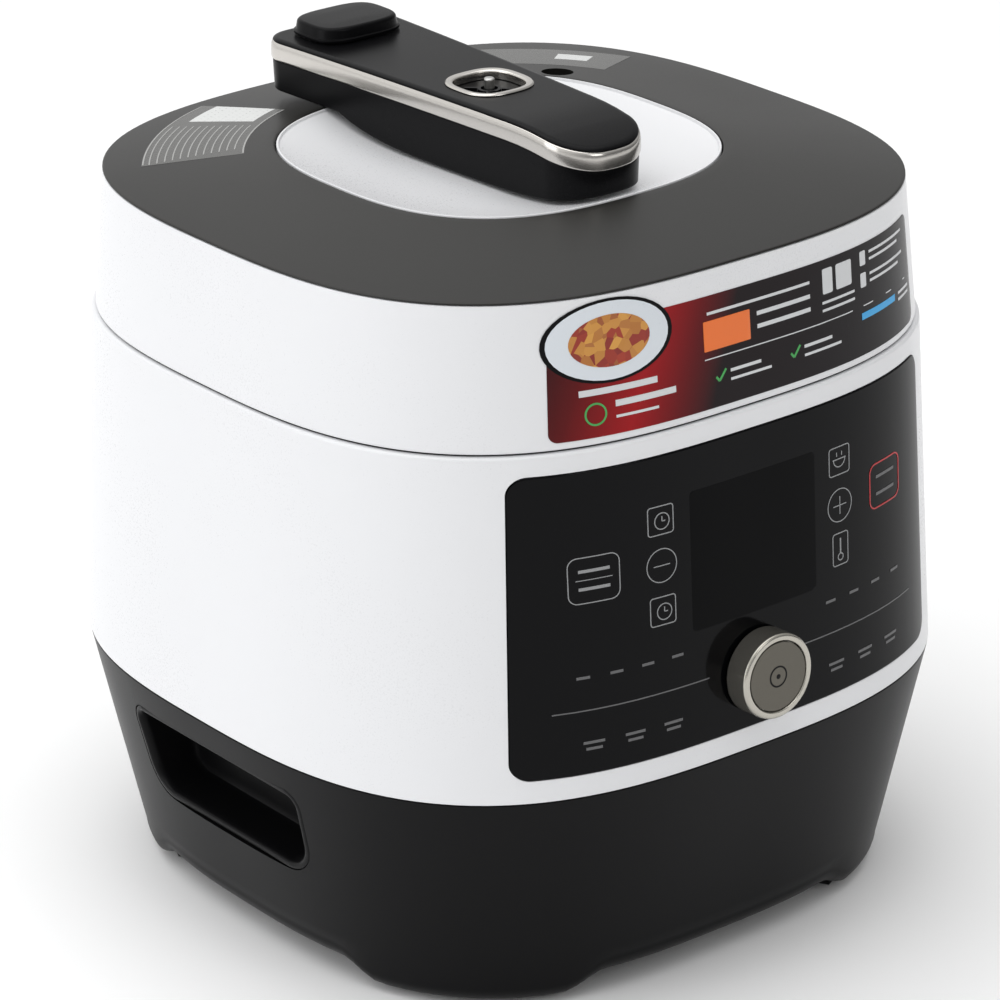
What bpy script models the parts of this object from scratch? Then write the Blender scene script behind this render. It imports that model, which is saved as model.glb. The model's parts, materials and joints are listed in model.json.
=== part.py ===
"""Electric pressure cooker with a hinged lid, a turning lid handle and a rotary control.

Metres, +Z up. The origin is on the table under the middle of the body. The control
panel faces -Y, the lid hinge is at +Y. The lid is closed and its handle unlocked.
"""

import math

import bmesh
import bpy
from mathutils import Matrix, Vector

# Outline of the body: a superellipse |x/a|^n + |y/b|^n = 1 whose half sizes change with height
OUTLINE_POWER = 2.92
FOOT_LEVEL = 0.010
FOOT_HALF = (0.1344, 0.1367)
WAIST_LEVEL = 0.0971
WAIST_HALF = (0.1516, 0.1539)
SEAM_LEVEL = 0.2343
SEAM_HALF = (0.1457, 0.1474)
SEAM_GAP = 0.0007
LID_TOP_LEVEL = 0.2906
LID_TOP_HALF = (0.1400, 0.1410)
LID_STEP = 0.0014
SHELL_STEPS = 48
ROUND_STEPS = 32
BAYONET_STEPS = 48
SMALL_STEPS = 16

GAP = 0.0003
WALL = 0.0030

# Base: arches between four corner feet, rubber pads under the feet
ARCH_LEVEL = 0.0085
CORNER_LEVEL = 0.0018
ARCH_END = 0.056
FOOT_START = 0.074
LIP_HEIGHT = 0.0030
LIP_INSET = 0.007
LIP_WIDTH = 0.011
PLATE_LEVEL = 0.0122
PLATE_THICK = 0.0020
SCREW_REACH = 0.120
SCREW_RADIUS = 0.0017
SCREW_HEAD_RADIUS = 0.0036

# Carrying pockets in the sides of the base, one narrower at the bottom than at the top
GRIP_TOP = 0.0846
GRIP_BOTTOM = 0.0456
GRIP_TOP_Y = (-0.0550, 0.0565)
GRIP_BOTTOM_Y = (-0.0545, 0.0500)
GRIP_TOP_CORNER = 0.008
GRIP_BOTTOM_CORNER = 0.015
GRIP_FLOOR_X = 0.1220
POCKET_WALL = 0.0024

# Mains inlet in the back of the base
INLET_CENTRE = (0.0, 0.0480)
INLET_HALF = (0.0165, 0.0135)
INLET_FLOOR_Y = 0.1225
PIN_LENGTH = 0.0120

# Control panel and rotary control on the front of the body
PANEL_Z = (0.1064, 0.2258)
PANEL_HALF_X = (0.1050, 0.1015)
PANEL_CORNER = 0.0070
PANEL_PROUD = 0.0004
PANEL_THICK = 0.0022
FRAME_MARGIN = 0.0050
FRAME_OPENING = 0.0070
KNOB_Z = 0.1292
KNOB_RADIUS = 0.0170
KNOB_BACK = 0.0014
KNOB_FRONT = 0.0121
KNOB_BEVEL = 0.0012
BOARD_Y = 0.1280

# Pots, heater and bayonet ring, all round about the vertical axis
POT_RADIUS = 0.1085
POT_WALL = 0.0018
POT_FLOOR = 0.0692
POT_RIM = 0.2214
CASING_RADIUS = 0.1120
CASING_WALL = 0.0014
CASING_FLOOR = 0.0540
HEATER_RADIUS = 0.0920
SENSOR_RADIUS = 0.0140
RING_RADIUS = 0.1260
RING_BORE = 0.1185
LUG_COUNT = 6
RING_LUG_REACH = 0.1132
RING_LUG_HALF_ANGLE = math.radians(8)
LID_LUG_RADIUS = 0.1173
LID_LUG_HALF_ANGLE = math.radians(8)
PRESSURE_LID_RADIUS = 0.1123
DECK_LEVEL = 0.2332

# Lid top: a dark ring around a shallow white dish
DISH_HALF = (0.0797, 0.0802)
DISH_POWER = 2.69
DISH_CENTRE_Y = 0.0020
DISH_RIM = 0.2988
DISH_FLOOR = 0.2912
DISH_THICK = 0.0020
DISH_REACH = 0.0760
RING_EDGE = 0.2912
VENT_CENTRE = (0.0767, 0.0597)
VENT_RADIUS = 0.0070
HUB_RADIUS = 0.0196

# Handle: along Y across the dish, wider at the back, the nose turned down
HANDLE_BACK_Y = 0.1200
HANDLE_NOSE_Y = -0.0700
END_BULGE = 0.0010
HANDLE_WIDE = 0.0298
HANDLE_NARROW = 0.0210
NOSE_CORNER = 0.0185
BACK_CORNER = 0.0120
HANDLE_BOTTOM = 0.2996
KEEL_CLEARANCE = 0.0008
TRIM_BOTTOM = 0.3132
TRIM_HEIGHT = 0.0072
CAP_TOP = 0.3218
CROWN_Y = 0.020
CROWN_BACK_DROP = 0.0008
CROWN_FRONT_DROP = 0.0004
NOSE_START_Y = -0.030
NOSE_DROP = 0.0058
NOSE_POWER = 2.2
WINDOW_Y = 0.0073
WINDOW_HALF = 0.0158
WINDOW_RIM = 0.0030
WINDOW_POWER = 2.8
FLOAT_TOP = 0.3242
FLOAT_RADIUS = 0.0021
VALVE_Y = 0.0995
VALVE_HALF = (0.0205, 0.0155)
VALVE_BOTTOM = 0.3221
VALVE_TOP = 0.3282

# Lid hinge and condensate cup at the back
HINGE_Y = 0.1525
HINGE_Z = 0.2350
KNUCKLE_RADIUS = 0.0042
HINGE_PIN_RADIUS = 0.0018
ARM_HALF_X = 0.0140
BRACKET_HALF_X = 0.0280
CUP_HALF_X = 0.0320
CUP_Z = (0.1500, 0.2000)
CUP_WALL = 0.0018
TONGUE_HALF_X = 0.0150
TONGUE_Z = (0.1860, 0.1890)


def clear_scene():
    for item in list(bpy.data.objects):
        bpy.data.objects.remove(item, do_unlink=True)


def make_material(name, colour, roughness, metallic=0.0):
    material = bpy.data.materials.new(name)
    material.use_nodes = True
    shader = material.node_tree.nodes["Principled BSDF"]
    shader.inputs["Base Color"].default_value = (*colour, 1.0)
    shader.inputs["Roughness"].default_value = roughness
    shader.inputs["Metallic"].default_value = metallic
    return material


def new_object(name, bm, material):
    """Turns a closed bmesh into a scene object with its faces pointing out."""
    bmesh.ops.recalc_face_normals(bm, faces=bm.faces)
    mesh = bpy.data.meshes.new(name)
    bm.to_mesh(mesh)
    bm.free()
    mesh.shade_smooth()
    mesh.set_sharp_from_angle(angle=math.radians(35))
    mesh.materials.append(material)
    item = bpy.data.objects.new(name, mesh)
    bpy.context.scene.collection.objects.link(item)
    return item


def helper(item):
    """Marks an object as a cutter, which is no part of the cooker."""
    item.hide_render = True
    item.display_type = "WIRE"
    return item


def combine(item, other, operation):
    modifier = item.modifiers.new(operation.title(), "BOOLEAN")
    modifier.operation = operation
    modifier.solver = "EXACT"
    modifier.object = helper(other)
    return item


def cut(item, *cutters):
    for cutter in cutters:
        combine(item, cutter, "DIFFERENCE")
    return item


def hang(item, parent):
    """Parents an object to an empty without moving it."""
    item.parent = parent
    item.matrix_parent_inverse = parent.matrix_world.inverted()


def pivot(name, place, axis=(0.0, 0.0, 1.0)):
    """An empty on a joint's axis, with its own Z along the axis."""
    empty = bpy.data.objects.new(name, None)
    empty.matrix_world = Matrix.Translation(place) @ Vector(axis).to_track_quat("Z", "Y").to_matrix().to_4x4()
    bpy.context.scene.collection.objects.link(empty)
    bpy.context.view_layer.update()
    return empty


# ---------------------------------------------------------------- outlines

def interpolate(value, stops):
    """Value on the broken line through the (position, result) stops."""
    for (low, first), (high, second) in zip(stops, stops[1:]):
        if value <= high or (high, second) == stops[-1]:
            share = (value - low) / (high - low)
            return tuple(p + (q - p) * share for p, q in zip(first, second))


def body_half(z):
    """Half sizes of the outside of the base, body and lid at a height."""
    stops = (
        (FOOT_LEVEL, FOOT_HALF),
        (WAIST_LEVEL, WAIST_HALF),
        (SEAM_LEVEL, SEAM_HALF),
        (LID_TOP_LEVEL, LID_TOP_HALF),
    )
    return interpolate(z, stops)


def superellipse(half_x, half_y, z, power=OUTLINE_POWER, steps=SHELL_STEPS, centre=(0.0, 0.0)):
    """Ring of points, even in angle, from the front (-Y) anticlockwise."""
    ring = []
    for step in range(steps):
        angle = 2 * math.pi * step / steps - math.pi / 2
        along, across = math.cos(angle), math.sin(angle)
        reach = (abs(along / half_x) ** power + abs(across / half_y) ** power) ** (-1 / power)
        ring.append(Vector((centre[0] + reach * along, centre[1] + reach * across, z)))
    return ring


def circle(radius, z, steps=ROUND_STEPS, centre=(0.0, 0.0)):
    if radius == 0:
        return [Vector((centre[0], centre[1], z))]
    return superellipse(radius, radius, z, 2.0, steps, centre)


def body_ring(z, inset=0.0, level=None):
    """Body outline at height z, set in by inset; level places it at another height."""
    half_x, half_y = body_half(z)
    return superellipse(half_x - inset, half_y - inset, z if level is None else level)


def blend_rings(first, second, share, z):
    return [Vector((*p.lerp(q, share).xy, z)) for p, q in zip(first, second)]


def rounded_outline(corners, arc_steps=4):
    """Closed outline through the (u, v, radius) corners, given anticlockwise, each corner an arc."""
    points = []
    count = len(corners)
    for index, (u, v, radius) in enumerate(corners):
        here = Vector((u, v))
        back = (Vector(corners[index - 1][:2]) - here).normalized()
        ahead = (Vector(corners[(index + 1) % count][:2]) - here).normalized()
        half = back.angle(ahead) / 2
        middle = here + (back + ahead).normalized() * radius / math.sin(half)
        start = here + back * radius / math.tan(half) - middle
        sweep = math.pi - 2 * half
        for step in range(arc_steps + 1):
            turn = Matrix.Rotation(sweep * step / arc_steps, 2)
            points.append(middle + turn @ start)
    return points


def rectangle(low_u, low_v, high_u, high_v, radius, arc_steps=4):
    corners = ((low_u, low_v), (high_u, low_v), (high_u, high_v), (low_u, high_v))
    return rounded_outline([(*corner, radius) for corner in corners], arc_steps)


# ---------------------------------------------------------------- solids

def strip_cap(bm, ring):
    """Fills a ring that starts on the mirror plane with strips from side to side."""
    count = len(ring)
    for index in range(count // 2):
        corners = (ring[index], ring[index + 1], ring[count - index - 1], ring[-index])
        bm.faces.new(list(dict.fromkeys(corners)))


def loft(name, rings, material, closed=False):
    """Skins the rings in turn. closed joins the last to the first, otherwise both ends are filled."""
    bm = bmesh.new()
    made = [[bm.verts.new(point) for point in ring] for ring in rings]
    pairs = list(zip(made, made[1:]))
    if closed:
        pairs.append((made[-1], made[0]))
    for lower, upper in pairs:
        count = max(len(lower), len(upper))
        for step in range(count):
            after = (step + 1) % count
            corners = (
                lower[step % len(lower)],
                lower[after % len(lower)],
                upper[after % len(upper)],
                upper[step % len(upper)],
            )
            bm.faces.new(list(dict.fromkeys(corners)))
    if not closed:
        for end in (made[0], made[-1]):
            if len(end) > 2:
                strip_cap(bm, end)
    return new_object(name, bm, material)


def turned(name, profile, material, steps=ROUND_STEPS, centre=(0.0, 0.0), closed=False):
    """Turns a profile of (radius, z) points about a vertical axis."""
    return loft(name, [circle(radius, z, steps, centre) for radius, z in profile], material, closed)


def prism(name, outline, axis, low, high, material):
    """Extrudes an outline along X, Y or Z between two positions."""
    place = {
        "X": lambda u, v, w: (w, u, v),
        "Y": lambda u, v, w: (u, w, v),
        "Z": lambda u, v, w: (u, v, w),
    }[axis]
    bm = bmesh.new()
    ends = [[bm.verts.new(place(*point, level)) for point in outline] for level in (low, high)]
    for end in ends:
        bm.faces.new(end)
    for step in range(len(outline)):
        after = (step + 1) % len(outline)
        bm.faces.new((ends[0][step], ends[0][after], ends[1][after], ends[1][step]))
    return new_object(name, bm, material)


def block(name, low, high, material):
    outline = ((low[0], low[1]), (high[0], low[1]), (high[0], high[1]), (low[0], high[1]))
    return prism(name, outline, "Z", low[2], high[2], material)


def disc_outline(centre, radius, steps=SMALL_STEPS):
    turns = [2 * math.pi * (step + 0.5) / steps for step in range(steps)]
    return [(centre[0] + radius * math.cos(turn), centre[1] + radius * math.sin(turn)) for turn in turns]


def rod(name, axis, centre, radius, low, high, material, steps=SMALL_STEPS):
    return prism(name, disc_outline(centre, radius, steps), axis, low, high, material)


def pipe(name, path, radius, material, bore=0.0, sides=10):
    """Round bar along a path, or a tube open at both ends if it has a bore."""
    rings = []
    normal = Vector((1.0, 0.0, 0.0))
    for index, point in enumerate(path):
        before, after = path[max(index - 1, 0)], path[min(index + 1, len(path) - 1)]
        tangent = (after - before).normalized()
        normal = (normal - tangent * normal.dot(tangent)).normalized()
        side = tangent.cross(normal)
        turns = [2 * math.pi * step / sides for step in range(sides)]
        rings.append([(point, math.cos(turn) * normal + math.sin(turn) * side) for turn in turns])
    outside = [[point + radius * way for point, way in ring] for ring in rings]
    inside = [[point + bore * way for point, way in ring] for ring in reversed(rings)]
    return loft(name, outside + inside if bore else outside, material, closed=bore > 0)


def shell_band(name, low, high, outer_inset, inner_inset, material):
    """Wall between two heights that follows the body's outline, open above and below."""
    rings = [body_ring(low, outer_inset), body_ring(high, outer_inset)]
    rings += [body_ring(high, inner_inset), body_ring(low, inner_inset)]
    return loft(name, rings, material, closed=True)


# ---------------------------------------------------------------- base

def smooth_share(value, low, high):
    share = min(max((value - low) / (high - low), 0.0), 1.0)
    return share * share * (3 - 2 * share)


def arched(ring, lift):
    """Gives a bottom ring of the base the height of its arches and feet, plus lift."""
    for point in ring:
        share = smooth_share(min(abs(point.x), abs(point.y)), ARCH_END, FOOT_START)
        point.z = ARCH_LEVEL + (CORNER_LEVEL - ARCH_LEVEL) * share + lift
    return ring


def grip_outline(margin):
    """Outline of a carrying pocket in the (y, z) plane, grown by margin."""
    top, bottom = GRIP_TOP + margin, GRIP_BOTTOM - margin
    top_corner, bottom_corner = GRIP_TOP_CORNER + margin, GRIP_BOTTOM_CORNER + margin
    corners = (
        (GRIP_BOTTOM_Y[0] - margin, bottom, bottom_corner),
        (GRIP_BOTTOM_Y[1] + margin, bottom, bottom_corner),
        (GRIP_TOP_Y[1] + margin, top, top_corner),
        (GRIP_TOP_Y[0] - margin, top, top_corner),
    )
    return rounded_outline(corners)


def inlet_outline(margin):
    x, z = INLET_CENTRE
    half_x, half_z = INLET_HALF[0] + margin, INLET_HALF[1] + margin
    return rectangle(x - half_x, z - half_z, x + half_x, z + half_z, 0.003 + margin, 2)


def base_plug(name, material):
    """Solid of the base's whole outside, from which the inserts in its wall are cut."""
    return loft(name, [body_ring(z) for z in (FOOT_LEVEL, WAIST_LEVEL)], material)


def make_inserts(material, pin_material):
    """Carrying pockets and mains inlet: cups let into the wall of the base, flush outside."""
    for side, name in ((-1, "grip_pocket_left"), (1, "grip_pocket_right")):
        pocket = base_plug(name, material)
        ends = sorted((side * (GRIP_FLOOR_X - POCKET_WALL), side * 0.170))
        combine(pocket, prism(name + "_keep", grip_outline(0.0), "X", *ends, material), "INTERSECT")
        ends = sorted((side * GRIP_FLOOR_X, side * 0.180))
        cut(pocket, prism(name + "_hollow", grip_outline(-POCKET_WALL), "X", *ends, material))
    inlet = base_plug("power_inlet", material)
    keep = prism("inlet_keep", inlet_outline(0.0), "Y", INLET_FLOOR_Y - POCKET_WALL, 0.170, material)
    combine(inlet, keep, "INTERSECT")
    cut(inlet, prism("inlet_hollow", inlet_outline(-POCKET_WALL), "Y", INLET_FLOOR_Y, 0.180, material))
    x, z = INLET_CENTRE
    places = (("live", -0.007, 0.003), ("neutral", 0.007, 0.003), ("earth", 0.0, -0.004))
    for name, place_x, place_z in places:
        low = (x + place_x - 0.001, INLET_FLOOR_Y + GAP, z + place_z - 0.002)
        high = (x + place_x + 0.001, INLET_FLOOR_Y + GAP + PIN_LENGTH, z + place_z + 0.002)
        block("inlet_pin_" + name, low, high, pin_material)


def make_base_housing(material):
    bottom_inset = LIP_INSET + LIP_WIDTH
    rings = [
        arched(body_ring(FOOT_LEVEL, LIP_INSET), 0.0),
        arched(body_ring(FOOT_LEVEL, 0.0025), 0.0022),
        arched(body_ring(FOOT_LEVEL, 0.0), 0.0080),
        body_ring(WAIST_LEVEL - GAP),
        body_ring(WAIST_LEVEL - GAP, WALL),
        body_ring(0.020, WALL),
        arched(body_ring(FOOT_LEVEL, LIP_INSET), LIP_HEIGHT),
        arched(body_ring(FOOT_LEVEL, bottom_inset), LIP_HEIGHT),
        arched(body_ring(FOOT_LEVEL, bottom_inset), 0.0),
    ]
    housing = loft("base_housing", rings, material, closed=True)
    for side, name in ((-1, "left"), (1, "right")):
        ends = sorted((side * 0.100, side * 0.180))
        cut(housing, prism("grip_hole_" + name, grip_outline(GAP), "X", *ends, material))
    cut(housing, prism("inlet_hole", inlet_outline(GAP), "Y", 0.100, 0.180, material))
    return housing


def make_foot_pads(material):
    """A curved rubber pad glued under each corner foot."""
    quarter = SHELL_STEPS // 4
    reach = 2
    for corner, name in enumerate(("front_right", "back_right", "back_left", "front_left")):
        middle = corner * quarter + quarter // 2
        picks = [(middle + step) % SHELL_STEPS for step in range(-reach, reach + 1)]
        outer = body_ring(FOOT_LEVEL, LIP_INSET + 0.0015, 0.0)
        inner = body_ring(FOOT_LEVEL, LIP_INSET + LIP_WIDTH - 0.0015, 0.0)
        outline = [outer[pick].xy for pick in picks] + [inner[pick].xy for pick in reversed(picks)]
        prism("foot_pad_" + name, outline, "Z", 0.0, CORNER_LEVEL - GAP, material)


def screw_places():
    return ((SCREW_REACH, 0.0), (0.0, SCREW_REACH), (-SCREW_REACH, 0.0), (0.0, -SCREW_REACH))


def make_bottom(plate_material, screw_material, housing):
    """Bottom plate lying on the lip of the housing, and the four screws that hold it."""
    z = PLATE_LEVEL
    rings = [body_ring(z, LIP_INSET + 2 * GAP, level) for level in (z, z + PLATE_THICK)]
    plate = loft("bottom_plate", rings, plate_material)
    for number, place in enumerate(screw_places(), 1):
        hole = rod(f"screw_hole_{number}", "Z", place, SCREW_RADIUS + GAP, 0.0, 0.030, plate_material, 12)
        cut(plate, hole)
        cut(housing, hole)
        head_top = ARCH_LEVEL - GAP
        profile = (
            (0.0, head_top - 0.0020),
            (SCREW_HEAD_RADIUS * 0.7, head_top - 0.0020),
            (SCREW_HEAD_RADIUS, head_top - 0.0012),
            (SCREW_HEAD_RADIUS, head_top),
            (SCREW_RADIUS, head_top),
            (SCREW_RADIUS, z + 0.006),
            (0.0, z + 0.007),
        )
        turned(f"bottom_screw_{number}", profile, screw_material, 12, place)
    for row in range(-2, 3):
        slot = rectangle(-0.020, row * 0.012 - 0.002, 0.020, row * 0.012 + 0.002, 0.0019, 2)
        cut(plate, prism(f"vent_slot_{row + 3}", slot, "Z", 0.0, 0.030, plate_material))


def make_power_parts(board_material, part_material, steel):
    top = PLATE_LEVEL + PLATE_THICK
    block("power_board", (-0.050, -0.058, top + 0.005), (0.050, 0.058, top + 0.0066), board_material)
    block("transformer", (-0.040, -0.045, top + 0.0069), (-0.008, -0.010, top + 0.030), part_material)
    for number in range(3):
        angle = math.radians(90 + 120 * number)
        low, high = top + GAP, CASING_FLOOR - GAP
        outline = (
            (0.000, low), (0.014, low), (0.014, low + 0.002), (0.002, low + 0.002),
            (0.002, high - 0.002), (0.014, high - 0.002), (0.014, high), (0.000, high),
        )
        leg = prism(f"support_bracket_{number + 1}", outline, "Y", -0.007, 0.007, steel)
        leg.matrix_world = Matrix.Rotation(angle, 4, "Z") @ Matrix.Translation((0.078, 0.0, 0.0))


# ---------------------------------------------------------------- body

def panel_outline(margin):
    """Outline of the control panel, grown by margin; its sides lean in with the body's."""
    low, high = PANEL_Z[0] - margin, PANEL_Z[1] + margin
    low_half, high_half = (half + margin for half in PANEL_HALF_X)
    ends = ((-low_half, low), (low_half, low), (high_half, high), (-high_half, high))
    return rounded_outline([(x, z, PANEL_CORNER + margin) for x, z in ends])


def make_body_shell(material):
    shell = shell_band("body_shell", WAIST_LEVEL, SEAM_LEVEL - SEAM_GAP, 0.0, WALL, material)
    return cut(shell, prism("panel_hole", panel_outline(GAP), "Y", -0.200, -0.080, material))


def make_panel(panel_material, frame_material):
    low, high = PANEL_Z
    back = PANEL_THICK - PANEL_PROUD
    panel = shell_band("front_panel", low - 0.004, high + 0.004, -PANEL_PROUD, back, panel_material)
    combine(panel, prism("panel_keep", panel_outline(0.0), "Y", -0.200, -0.080, panel_material), "INTERSECT")
    cut(panel, rod("panel_bore", "Y", (0.0, KNOB_Z), 0.0045, -0.200, -0.100, panel_material, 24))
    inset = WALL + GAP
    frame = shell_band("panel_frame", low - 0.012, high + 0.002, inset, inset + 0.0022, frame_material)
    keep = prism("frame_keep", panel_outline(FRAME_MARGIN), "Y", -0.200, -0.080, frame_material)
    combine(frame, keep, "INTERSECT")
    cut(frame, prism("frame_window", panel_outline(-FRAME_OPENING), "Y", -0.210, -0.070, frame_material))


def make_controls(board_material, display_material, plastic, chrome, face_material, steel):
    """Boards behind the panel, and the push-and-turn control on its pivot."""
    block("control_board", (-0.084, -BOARD_Y - 0.0016, 0.112), (0.084, -BOARD_Y, 0.214), board_material)
    block("display_module", (-0.031, -0.1455, 0.152), (0.032, -BOARD_Y - 0.0019, 0.208), display_material)
    place = knob_place()
    axis = knob_axis()
    push = pivot("knob_push_pivot", place, axis)
    local = push.matrix_world.copy()

    def on_axis(name, profile, material, closed=False, steps=ROUND_STEPS):
        item = turned(name, profile, material, steps, closed=closed)
        item.matrix_world = local
        return item

    casing = ((0.0070, -0.0180), (0.0070, -0.0100), (0.0034, -0.0100), (0.0034, -0.0180))
    on_axis("encoder_body", casing, plastic, True, 12)
    press = ((0.0, -0.0172), (0.0030, -0.0172), (0.0030, -0.0153), (0.0, -0.0153))
    plunger = on_axis("encoder_plunger", press, plastic, False, 12)
    shaft = ((0.0, -0.0150), (0.0030, -0.0150), (0.0030, 0.0085), (0.0, 0.0085))
    knob = (
        (0.0, 0.0088),
        (0.0033, 0.0088),
        (0.0033, KNOB_BACK),
        (KNOB_RADIUS - 0.0006, KNOB_BACK),
        (KNOB_RADIUS, KNOB_BACK + 0.0006),
        (KNOB_RADIUS, KNOB_FRONT - KNOB_BEVEL),
        (KNOB_RADIUS - KNOB_BEVEL, KNOB_FRONT),
        (KNOB_RADIUS - 0.0026, KNOB_FRONT),
        (KNOB_RADIUS - 0.0030, KNOB_FRONT - 0.0012),
        (0.0, KNOB_FRONT - 0.0012),
    )
    face = (
        (0.0, KNOB_FRONT - 0.0009),
        (KNOB_RADIUS - 0.0033, KNOB_FRONT - 0.0009),
        (KNOB_RADIUS - 0.0033, KNOB_FRONT - 0.0004),
        (0.0, KNOB_FRONT - 0.0002),
    )
    turn = pivot("knob_turn_pivot", place, axis)
    hang(turn, push)
    hang(plunger, push)
    rotor = (
        on_axis("encoder_shaft", shaft, steel, False, 12),
        on_axis("control_knob", knob, chrome),
        on_axis("knob_face", face, face_material),
    )
    for item in rotor:
        hang(item, turn)


def knob_place():
    return Vector((0.0, -body_half(KNOB_Z)[1] - PANEL_PROUD, KNOB_Z))


def knob_axis():
    """Outward normal of the front wall, which leans back a little going up."""
    lean = (WAIST_HALF[1] - SEAM_HALF[1]) / (SEAM_LEVEL - WAIST_LEVEL)
    return Vector((0.0, -1.0, lean)).normalized()


def back_limit():
    """How far back the condensate cup reaches: as far as the knob reaches forward."""
    axis = knob_axis()
    rim = knob_place() + axis * KNOB_FRONT
    return -(rim.y - axis.z * (KNOB_RADIUS - KNOB_BEVEL))


def make_top_deck(material):
    """Flat top of the body around the bayonet ring, with a shallow gutter."""
    z = DECK_LEVEL
    outer = body_ring(z, WALL + GAP)
    inner = circle(RING_RADIUS + 0.0005, z, SHELL_STEPS)
    steps = ((0.0, 0.0), (0.25, 0.0), (0.40, -0.0022), (0.75, -0.0022), (0.88, 0.0), (1.0, 0.0))
    rings = [blend_rings(outer, inner, share, z + drop) for share, drop in steps]
    rings += [blend_rings(outer, inner, share, z - 0.0045) for share in (1.0, 0.0)]
    loft("top_deck", rings, material, closed=True)


# ---------------------------------------------------------------- pots, heater, bayonet

def make_pots(pot_material, casing_material, heater_material):
    inside = POT_RADIUS - POT_WALL
    pot = (
        (0.0, POT_FLOOR),
        (0.092, POT_FLOOR),
        (0.103, POT_FLOOR + 0.004),
        (POT_RADIUS, POT_FLOOR + 0.014),
        (POT_RADIUS, POT_RIM - 0.0020),
        (POT_RADIUS + 0.0040, POT_RIM - 0.0020),
        (POT_RADIUS + 0.0040, POT_RIM),
        (inside, POT_RIM),
        (inside, POT_FLOOR + 0.015),
        (0.102, POT_FLOOR + 0.0055),
        (0.091, POT_FLOOR + POT_WALL),
        (0.0, POT_FLOOR + POT_WALL),
    )
    turned("inner_pot", pot, pot_material)
    bore = CASING_RADIUS - CASING_WALL
    casing = (
        (0.010, CASING_FLOOR),
        (CASING_RADIUS - 0.006, CASING_FLOOR),
        (CASING_RADIUS, CASING_FLOOR + 0.006),
        (CASING_RADIUS, POT_RIM - 0.0040),
        (CASING_RADIUS + 0.010, POT_RIM - 0.0040),
        (CASING_RADIUS + 0.010, POT_RIM - 0.0023),
        (bore, POT_RIM - 0.0023),
        (bore, CASING_FLOOR + 0.007),
        (bore - 0.006, CASING_FLOOR + CASING_WALL),
        (0.010, CASING_FLOOR + CASING_WALL),
    )
    turned("outer_pot", casing, casing_material, closed=True)
    low, high = CASING_FLOOR + CASING_WALL + GAP, POT_FLOOR - GAP
    heater = (
        (SENSOR_RADIUS + 0.002, low + 0.003),
        (0.060, low + 0.003),
        (0.066, low),
        (0.080, low),
        (0.086, low + 0.003),
        (HEATER_RADIUS, low + 0.006),
        (HEATER_RADIUS - 0.002, high),
        (SENSOR_RADIUS + 0.002, high),
    )
    turned("heating_plate", heater, heater_material, closed=True)


def make_sensor(cap_material, steel):
    """Spring-loaded temperature sensor in the middle of the heating plate."""
    top = POT_FLOOR - GAP
    profile = (
        (0.0, top - 0.0030),
        (0.0105, top - 0.0030),
        (0.0105, top - 0.0080),
        (SENSOR_RADIUS, top - 0.0080),
        (SENSOR_RADIUS, top - 0.0015),
        (SENSOR_RADIUS - 0.0015, top),
        (0.0, top),
    )
    sensor = turned("temperature_sensor", profile, cap_material, 32)
    hang(sensor, pivot("sensor_pivot", (0.0, 0.0, top)))
    low, high = CASING_FLOOR + CASING_WALL + GAP, top - 0.0080 - GAP
    wire, turns, steps = 0.0006, 2, 12
    path = []
    for step in range(turns * steps + 1):
        angle = 2 * math.pi * step / steps
        height = low + wire + (high - low - 2 * wire) * step / (turns * steps)
        path.append(Vector((0.0123 * math.cos(angle), 0.0123 * math.sin(angle), height)))
    pipe("sensor_spring", path, wire, steel, sides=6)


def lugged_ring(radius, lug_radius, half_angle, z, steps=BAYONET_STEPS):
    """Circle whose radius changes to lug_radius within each of the evenly spaced lugs."""
    ring = circle(radius, z, steps)
    spacing = 2 * math.pi / LUG_COUNT
    for index, point in enumerate(ring):
        angle = 2 * math.pi * index / steps
        offset = (angle + spacing / 2) % spacing - spacing / 2
        if abs(offset) <= half_angle:
            point.xy *= lug_radius / radius
    return ring


def turn_ring(ring, angle):
    """The ring rotated by a whole number of its steps, keeping point 0 at the front."""
    shift = round(angle / (2 * math.pi) * len(ring))
    turn = Matrix.Rotation(angle, 3, "Z")
    moved = [turn @ point for point in ring]
    return moved[-shift:] + moved[:-shift] if shift else moved


def make_bayonet_ring(steel):
    """Steel ring with six inward lugs, midway between the lid's lugs while the handle is unlocked."""
    low, lug_low, high = POT_RIM - 0.0021 + GAP, 0.2302, 0.2333
    half_turn = math.pi / LUG_COUNT
    steps = BAYONET_STEPS

    def inner(z, reach):
        return turn_ring(lugged_ring(RING_BORE, reach, RING_LUG_HALF_ANGLE, z, steps), half_turn)

    rings = [
        circle(RING_RADIUS, low, steps),
        circle(RING_RADIUS, high, steps),
        inner(high, RING_LUG_REACH),
        inner(lug_low, RING_LUG_REACH),
        circle(RING_BORE + 0.0002, lug_low - 0.0002, steps),
        circle(RING_BORE + 0.0002, low, steps),
    ]
    loft("locking_ring", rings, steel, closed=True)


# ---------------------------------------------------------------- lid

def lid_ring(z, inset=0.0, level=None):
    return body_ring(z, LID_STEP * (LID_TOP_LEVEL - z) / (LID_TOP_LEVEL - SEAM_LEVEL) + inset, level)


def dish_ring(share, z, inset=0.0):
    half_x, half_y = ((half - inset) * share for half in DISH_HALF)
    return superellipse(half_x, half_y, z, DISH_POWER, SHELL_STEPS, (0.0, DISH_CENTRE_Y))


def make_lid_shell(material):
    low, high = SEAM_LEVEL + 0.0002, LID_TOP_LEVEL - 0.0004
    rings = [
        lid_ring(low),
        lid_ring(high - 0.0006),
        lid_ring(high, 0.0006),
        lid_ring(high, 0.0140),
        lid_ring(high - 0.0020, 0.0140),
        lid_ring(high - 0.0026, 0.0026),
        lid_ring(low, 0.0026),
    ]
    return loft("lid_shell", rings, material, closed=True)


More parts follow.
